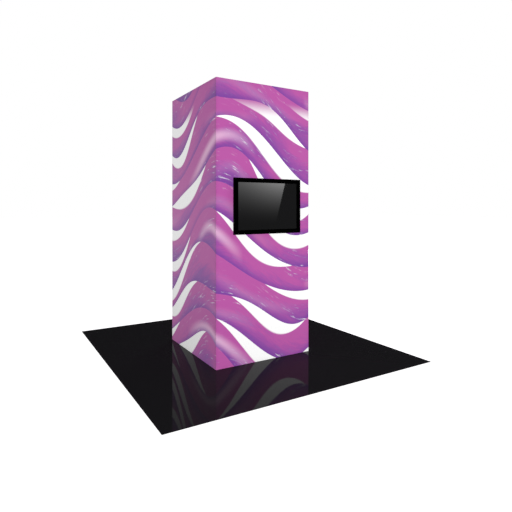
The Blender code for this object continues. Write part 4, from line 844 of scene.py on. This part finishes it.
# %% [markdown]
# ## The screen
# The monitor is switched off, so its glass is a dark mirror. What shows on it is a long soft
# light with a slanting edge. That isn't painted on: the glass only gets a clean dark gloss, and
# the light itself is built further down, where it stands in the room.

# %% Dark screen glass
GLASS_INDEX = 1.5
GLASS_DARK, GLASS_CELL = (0.0135, 0.0135, 0.0140, 1.0), (0.0150, 0.0150, 0.0156, 1.0)
finishes["screen_glass"], tree, shader = new_finish("screen_glass_off")
smudges = grain(tree, 9.0, 4.0)
cells = grain(tree, 1400.0, 1.0)
feed_all(tree, shader, {"Base Color": mix_colours(tree, cells, GLASS_DARK, GLASS_CELL),
                        "Roughness": fade(tree, smudges, 0.45, 0.75, 0.018, 0.045),
                        "IOR": GLASS_INDEX})
relief(tree, shader, smudges, 1e-5, 0.2)
print("screen glass: index", GLASS_INDEX)

# %% [markdown]
# The silicone is ready, so each face gets its trim. One piece could go round the whole tower,
# but a face comes off together with its own trim, so there is one for each.

# %% Place the trim of each face
trims = {}
for side, name in enumerate(SIDES):
    trims[name] = place_piece("edge_trim_" + name, trim_mesh(side), finishes["silicone_trim"])
    smooth_up_to(trims[name], 40)
print("trim pieces:", len(trims))

# %% [markdown]
# Each face is held by two corner posts and by the top and bottom rails of its side. Here they are
# listed for each face, from the names of the CAD solids.

POSTS = {"front": ("front_left", "front_right"), "right": ("front_right", "rear_right"),
         "rear": ("rear_right", "rear_left"), "left": ("rear_left", "front_left")}
for name, item in faces.items():
    held_by = ["corner_post_" + post for post in POSTS[name]]
    held_by += ["top_rail_" + name, "bottom_rail_" + name]

# %% [markdown]
# ## Finishes on the CAD solids
# Every solid keeps its shape and gets the finish of the real piece. Finishes could be given one
# by one, but the names of alike solids start alike, so one table does it. The long aluminium
# profiles need the grain along their own length, so theirs are told apart by their side.

# %% Give each solid its finish
WEARS = {
    "aluminium_upright": "corner_post",
    "aluminium_along_x": "mount_beam top_rail_front top_rail_rear bottom_rail_front "
                         "bottom_rail_rear",
    "aluminium_along_y": "top_rail_left top_rail_right bottom_rail_left bottom_rail_right",
    "turned_aluminium": "standoff", "zinc_plate": "top_bracket bottom_bracket pivot_pin",
    "folded_steel": "base_plate mast_head_brace monitor_chassis",
    "white_enamel": "light_mast top_panel led_driver",
    "black_powder_coat": "wall_plate tilt_arm inlet_plate", "satin_moulding": "monitor_bezel",
    "back_moulding": "rear_cover", "grey_moulding": "lcd_panel junction_box",
    "inlet_moulding": "inlet_module", "rocker_moulding": "switch_rocker",
    "key_moulding": "power_button input_button", "board_green": "main_board",
    "cable_sheath": "mains_cable monitor_cable light_lead", "lamp_bar": "led_bar",
    "gloss_floor": "floor_sheet", "screen_glass": "front_glass",
}


def finish_for(name):
    """The finish of a CAD node, by how its name starts."""
    return next(finishes[finish] for finish, starts in WEARS.items()
                if name.startswith(tuple(starts.split())))


solids = {name: item for name, item in nodes.items() if not name.startswith("fabric")}
for name, item in solids.items():
    item.data.materials.clear()
    item.data.materials.append(finish_for(name))
print(len(solids), "solids finished")

# %% [markdown]
# ## Small pieces on the monitor
# A thin rubber gasket closes the gap between the bezel and the glass. A box with a hole cut
# through it would do, but four loops of points joined to a ring need no cutting. Its sizes come
# from the glass, so it always closes the gap.

# %% Gasket round the glass
GASKET_WIDTH = 0.0014
GASKET_DEPTH = 0.0022
GASKET_GAP = 0.0001
GLASS_LAP = 0.018  # how far the glass reaches behind the bezel's lip
window_half_width = glass_high.x - GLASS_LAP
window_half_height = (glass_high.z - glass_low.z) / 2 - GLASS_LAP
screen_middle = (bezel_low.z + bezel_high.z) / 2


def ring_mesh(half_width, half_height, width, front, back, corner=0.0006):
    """A rectangular ring in X and Z with softened edges. Half its outer sizes are given."""
    mesh = bmesh.new()
    loops = []
    for inset, y in ((0.0, back), (0.0, front), (width, front), (width, back)):
        w, h = half_width - inset, half_height - inset
        corners = ((-w, -h), (w, -h), (w, h), (-w, h))
        loops.append([mesh.verts.new((x, y, screen_middle + z)) for x, z in corners])
    join_loops(mesh, loops + loops[:1])
    bmesh.ops.recalc_face_normals(mesh, faces=mesh.faces)
    bmesh.ops.bevel(mesh, geom=list(mesh.edges), offset=corner, segments=2, affect="EDGES")
    return mesh


glass_front = glass_low.y - GASKET_GAP
ring = ring_mesh(window_half_width - GASKET_GAP, window_half_height - GASKET_GAP, GASKET_WIDTH,
                 glass_front - GASKET_DEPTH, glass_front)
place_piece("screen_gasket", ring, finishes["gasket_rubber"], "monitor")
print("gasket", GASKET_WIDTH * 1000, "mm wide")

# %% [markdown]
# In the lower border sit a dark window for the remote control's sensor and a small status lamp.
# Both are thin moulded pads with round corners. Each is built from four rings of points, every
# ring a little smaller and further out, which gives the soft rim of a moulding. They are no
# larger than a fingertip, but they give the flat frame its scale from near by.

# %% Sensor window and status lamp
# place along X, then width, height and corner radius, and the finish
PADS = {"sensor_window": (0.352, (0.016, 0.0045, 0.0016), "sensor_plastic"),
        "status_lamp": (0.372, (0.0035, 0.0035, 0.0017), "lamp_plastic")}
PAD_RINGS = ((0.0, 0.0004), (0.0, -0.0001), (0.0003, -0.0003), (0.0008, -0.0004))  # inset, depth
PAD_STEPS = 6
PAD_FROM_EDGE = 0.022  # up from the monitor's lower edge


def pad_mesh(x, z, width, height, corner, front):
    """A low pillow with round corners on the bezel's face."""
    mesh = bmesh.new()
    rings = []
    for inset, deep in PAD_RINGS:
        ring = []
        for sx, sz, quarter in ((1, 1, 0), (-1, 1, 1), (-1, -1, 2), (1, -1, 3)):
            for step in range(PAD_STEPS + 1):
                angle = math.radians(90 * (quarter + step / PAD_STEPS))
                radius = corner - inset
                px = x + sx * (width / 2 - corner) + radius * math.cos(angle)
                pz = z + sz * (height / 2 - corner) + radius * math.sin(angle)
                ring.append(mesh.verts.new((px, front + deep, pz)))
        rings.append(ring)
    join_loops(mesh, rings)
    mesh.faces.new(rings[0])
    mesh.faces.new(rings[-1][::-1])
    bmesh.ops.recalc_face_normals(mesh, faces=mesh.faces)
    return mesh


for name, (x, sizes, finish) in PADS.items():
    mesh = pad_mesh(x, bezel_low.z + PAD_FROM_EDGE, *sizes, bezel_low.y)
    pad = place_piece(name, mesh, finishes[finish], "monitor")
    smooth_up_to(pad, 45)
print("pads:", list(PADS))

# %% [markdown]
# ## The room
# The photo's background is plain white with no horizon. A curved backdrop would need lamps of its
# own. So the floor of the studio is white and gives its own light, to the camera only. It takes
# no part in lighting the tower, which keeps its foot as even as its head.

# %% White studio floor
FLOOR_DROP = 0.002
STUDIO_REACH = 60.0
STUDIO_GLOW = 0.9
white_floor, tree, shader = new_finish("studio_white")
feed_all(tree, shader, {"Base Color": (0.9, 0.9, 0.9, 1.0), "Roughness": 0.9,
                        "Emission Color": WHITE, "Emission Strength": STUDIO_GLOW})


def stage_face(name, points, finish, unseen_by):
    """A flat face that belongs to the studio, and that some kinds of ray don't see."""
    mesh = bmesh.new()
    mesh.faces.new([mesh.verts.new(point) for point in points])
    item = new_item(name, mesh)
    item.data.materials.append(finish)
    item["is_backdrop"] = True
    for way in unseen_by:
        setattr(item, "visible_" + way, False)
    return item


corners = ((-1, -1), (1, -1), (1, 1), (-1, 1))
stage_face("studio_floor", [(x * STUDIO_REACH, y * STUDIO_REACH, -FLOOR_DROP) for x, y in corners],
           white_floor, ("diffuse", "glossy"))
print("studio floor at", -FLOOR_DROP, "m")

# %% [markdown]
# The world behind is white to the camera, but dark in reflections, as if the gloss floor and the
# screen faced an unlit hall. Around the tower it is an even, soft light. One world can be all
# three, because it can tell which kind of ray is asking.

# %% A world that is white, dim and even
WORLD_SEEN = 1.0
WORLD_MIRRORED = 0.005
WORLD_SOFT = 0.30
world = bpy.data.worlds.new("studio")
bpy.context.scene.world = world
world.use_nodes = True
tree = world.node_tree
ray = tree.nodes.new("ShaderNodeLightPath")
seen = reckon(tree, "MULTIPLY", ray.outputs["Is Camera Ray"], WORLD_SEEN - WORLD_SOFT)
mirrored = reckon(tree, "MULTIPLY", ray.outputs["Is Glossy Ray"], WORLD_MIRRORED - WORLD_SOFT)
strength = reckon(tree, "ADD", reckon(tree, "ADD", seen, mirrored), WORLD_SOFT)
feed(tree, tree.nodes["Background"].inputs["Strength"], strength)
feed(tree, tree.nodes["Background"].inputs["Color"], WHITE)
print("soft light", WORLD_SOFT)

# %% [markdown]
# A large soft key light on the right brings the monitor's side up to full white and leaves the
# left side about a third darker. It casts no shadow, because in the photo the monitor casts none
# on the fabric. A weaker one behind gives the far sides some shape. Both stay out of
# reflections, so the gloss sheet shows only the tower.

# %% Key and rear light
def soft_light(name, place, aim, size, power, shadow=True):
    """A square area light that points at a place and isn't seen in reflections."""
    lamp = bpy.data.lights.new(name, "AREA")
    lamp.shape = "SQUARE"
    lamp.size = size
    lamp.energy = power
    lamp.use_shadow = shadow
    item = bpy.data.objects.new(name, lamp)
    item.location = place
    item.rotation_euler = (Vector(aim) - Vector(place)).to_track_quat("-Z", "Y").to_euler()
    item.visible_glossy = False
    bpy.context.scene.collection.objects.link(item)
    return item


KEY_POWER = 830.0
REAR_POWER = 420.0
soft_light("key_light", (4.2, -14.0, 2.6), (0.0, -0.6, 1.3), 6.0, KEY_POWER, shadow=False)
soft_light("rear_light", (9.0, 8.0, 1.4), (0.0, 0.0, 1.5), 4.0, REAR_POWER)
print("key", KEY_POWER, "W, rear", REAR_POWER, "W")

# %% [markdown]
# Seen at a flat angle, the ink on the left side looks greyer than on the front, as printed cloth
# does when a window lies beyond it. Grey could be mixed into the ink, but then it would stay
# grey from every side. So a light stands behind and to the left, and only the gloss of the cloth
# answers to it. Light linking names the pieces that a light reaches, which keeps its mirror
# image out of the floor sheet. In the same way a weak lamp from above reaches the lid alone.
# Without it the white lid looks dark grey, because it faces none of the other lamps.

# %% A veil of light on the cloth
def reach_only(item, pieces):
    """Lets a light, or a piece that glows, light only the given pieces."""
    group = bpy.data.collections.new(item.name + "_reaches")
    for piece in pieces:
        group.objects.link(piece)
    item.light_linking.receiver_collection = group


VEIL_POWER = 2100.0
veil = soft_light("veil_light", (-4.7, 9.1, 0.2), (-0.6, 0.0, 0.6), 5.0, VEIL_POWER)
veil.visible_glossy = True
veil.visible_diffuse = False
reach_only(veil, faces.values())
OVERHEAD_POWER = 120.0
overhead = soft_light("overhead_light", (0.0, 0.0, 8.0), (0.0, 0.0, 3.0), 5.0, OVERHEAD_POWER)
reach_only(overhead, [nodes["top_panel"]])
print("veil", VEIL_POWER, "W on", len(faces), "faces, overhead", OVERHEAD_POWER, "W on the lid")

# %% [markdown]
# The glare on the screen is the mirror image of a tall light panel beside the camera. Its right
# edge slants and it fades towards the floor. It is built where the screen's mirror image puts
# it: every point of the glass is followed to the panel's plane. Only the glass can see it.

# %% Where the screen's reflection looks
CAMERA_PLACE = Vector((-2.6473, -4.5679, 1.6745))
PANEL_Y = -5.2
mirror_y = 2 * glass_low.y - CAMERA_PLACE.y


def seen_in_glass(x, z):
    """The point on the panel's plane that the camera sees at a point of the glass."""
    share = (PANEL_Y - mirror_y) / (glass_low.y - mirror_y)
    return (CAMERA_PLACE.x + share * (x - CAMERA_PLACE.x),
            CAMERA_PLACE.z + share * (z - CAMERA_PLACE.z))


glass_left = -window_half_width
glass_top = screen_middle + window_half_height
glass_foot = screen_middle - window_half_height
print("top left of the glass mirrors", [round(v, 2) for v in seen_in_glass(glass_left, glass_top)])

# %% [markdown]
# The glare is brightest at the head of the glass and fades to nothing before its foot. On a real
# soft box, gauze would let less and less light through. Here two fades weaken the panel's own
# glow, one downwards and a gentler one to the left. Both are measured on the glass.

# %% A glow that fades
PANEL_GLOW = 4.7
GLARE_FOOT = 0.96  # how far down the glass the glare ends
GLARE_FALL = 2.6  # how fast it falls off downwards
LEFT_GLOW = 0.36  # the share of the glow that remains at the left
EDGE_X = (0.230, 0.077)  # where the slanting edge shows, at the head and the foot
BEYOND = {"head": 0.04, "fade": 0.10, "left": 0.15}  # how far past the glass the light goes on
edge_top = seen_in_glass(EDGE_X[0], glass_top + BEYOND["head"])
edge_foot = seen_in_glass(EDGE_X[1], glass_foot)

panel_glow, tree, shader = new_finish("panel_glow")
across, _, up = axes(tree, object_place(tree))
fade_foot = seen_in_glass(0.0, glass_top - GLARE_FOOT * (glass_top - glass_foot))[1]
fade_length = seen_in_glass(0.0, glass_top)[1] - fade_foot
upward = reckon(tree, "DIVIDE", reckon(tree, "SUBTRACT", up, fade_foot), fade_length)
upward = reckon(tree, "POWER", reckon(tree, "MAXIMUM", upward, 0.0), GLARE_FALL)
fade_left = seen_in_glass(glass_left - BEYOND["fade"], 0.0)[0]
sideways = fade(tree, across, fade_left, edge_top[0], LEFT_GLOW, 1.0)
glow = mix_colours(tree, reckon(tree, "MULTIPLY", upward, sideways), BLACK, WHITE)
feed_all(tree, shader, {"Base Color": BLACK, "Emission Color": glow,
                        "Emission Strength": PANEL_GLOW})
print("panel glow", PANEL_GLOW)

# %% [markdown]
# In a studio the panel would be a soft box, masked to its shape with black cloth. One flat face
# with four corners is enough here. The two corners of its slanting edge are found from points on
# the glass, and the others lie out of the mirror image.

# %% Light panel with a slanting edge
panel_left = seen_in_glass(glass_left - BEYOND["left"], glass_top)[0]
outline = ((panel_left, edge_foot[1]), edge_foot, edge_top, (panel_left, edge_top[1]))
panel = stage_face("light_panel", [(x, PANEL_Y, z) for x, z in outline], panel_glow,
                   ("camera", "diffuse", "transmission", "volume_scatter", "shadow"))
reach_only(panel, [nodes["front_glass"]])
print("panel", [round(v, 2) for v in edge_foot], "to", [round(v, 2) for v in edge_top])

# %% [markdown]
# ## The camera
# The photo was taken level, at eye height, about thirty degrees round from the monitor's face.
# Its place and lens were solved from the corners of the sheet and the tower. A small shift
# moves the frame without tilting the camera, which keeps the upright edges upright.

# %% Camera and colour handling
LENS = 30.737
LENS_SHIFT = (0.04225, -0.0968)
CAMERA_TURN = -29.686  # degrees round from the monitor's face
camera_data = bpy.data.cameras.new("camera")
camera_data.sensor_width = 36.0
camera_data.lens = LENS
camera_data.shift_x, camera_data.shift_y = LENS_SHIFT
camera_data.dof.use_dof = False
camera = bpy.data.objects.new("camera", camera_data)
camera.location = CAMERA_PLACE
camera.rotation_euler = (math.radians(90), 0.0, math.radians(CAMERA_TURN))
bpy.context.scene.collection.objects.link(camera)
bpy.context.scene.camera = camera
bpy.context.scene.view_settings.view_transform = "Standard"
print("lens", LENS, "mm")

# %% [markdown]
# ## The sizes at the end
# The boxes round the CAD model and round the dressed model are kept side by side, and the dressed
# model's size is printed. The dressed model must be no larger than the CAD model.

# %% Gather the sizes
low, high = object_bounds()
sizes = {"cad": [list(cad_low), list(cad_high)], "visual": [list(low), list(high)]}
print("visual model", [round(b - a, 4) for a, b in zip(low, high)], "m")
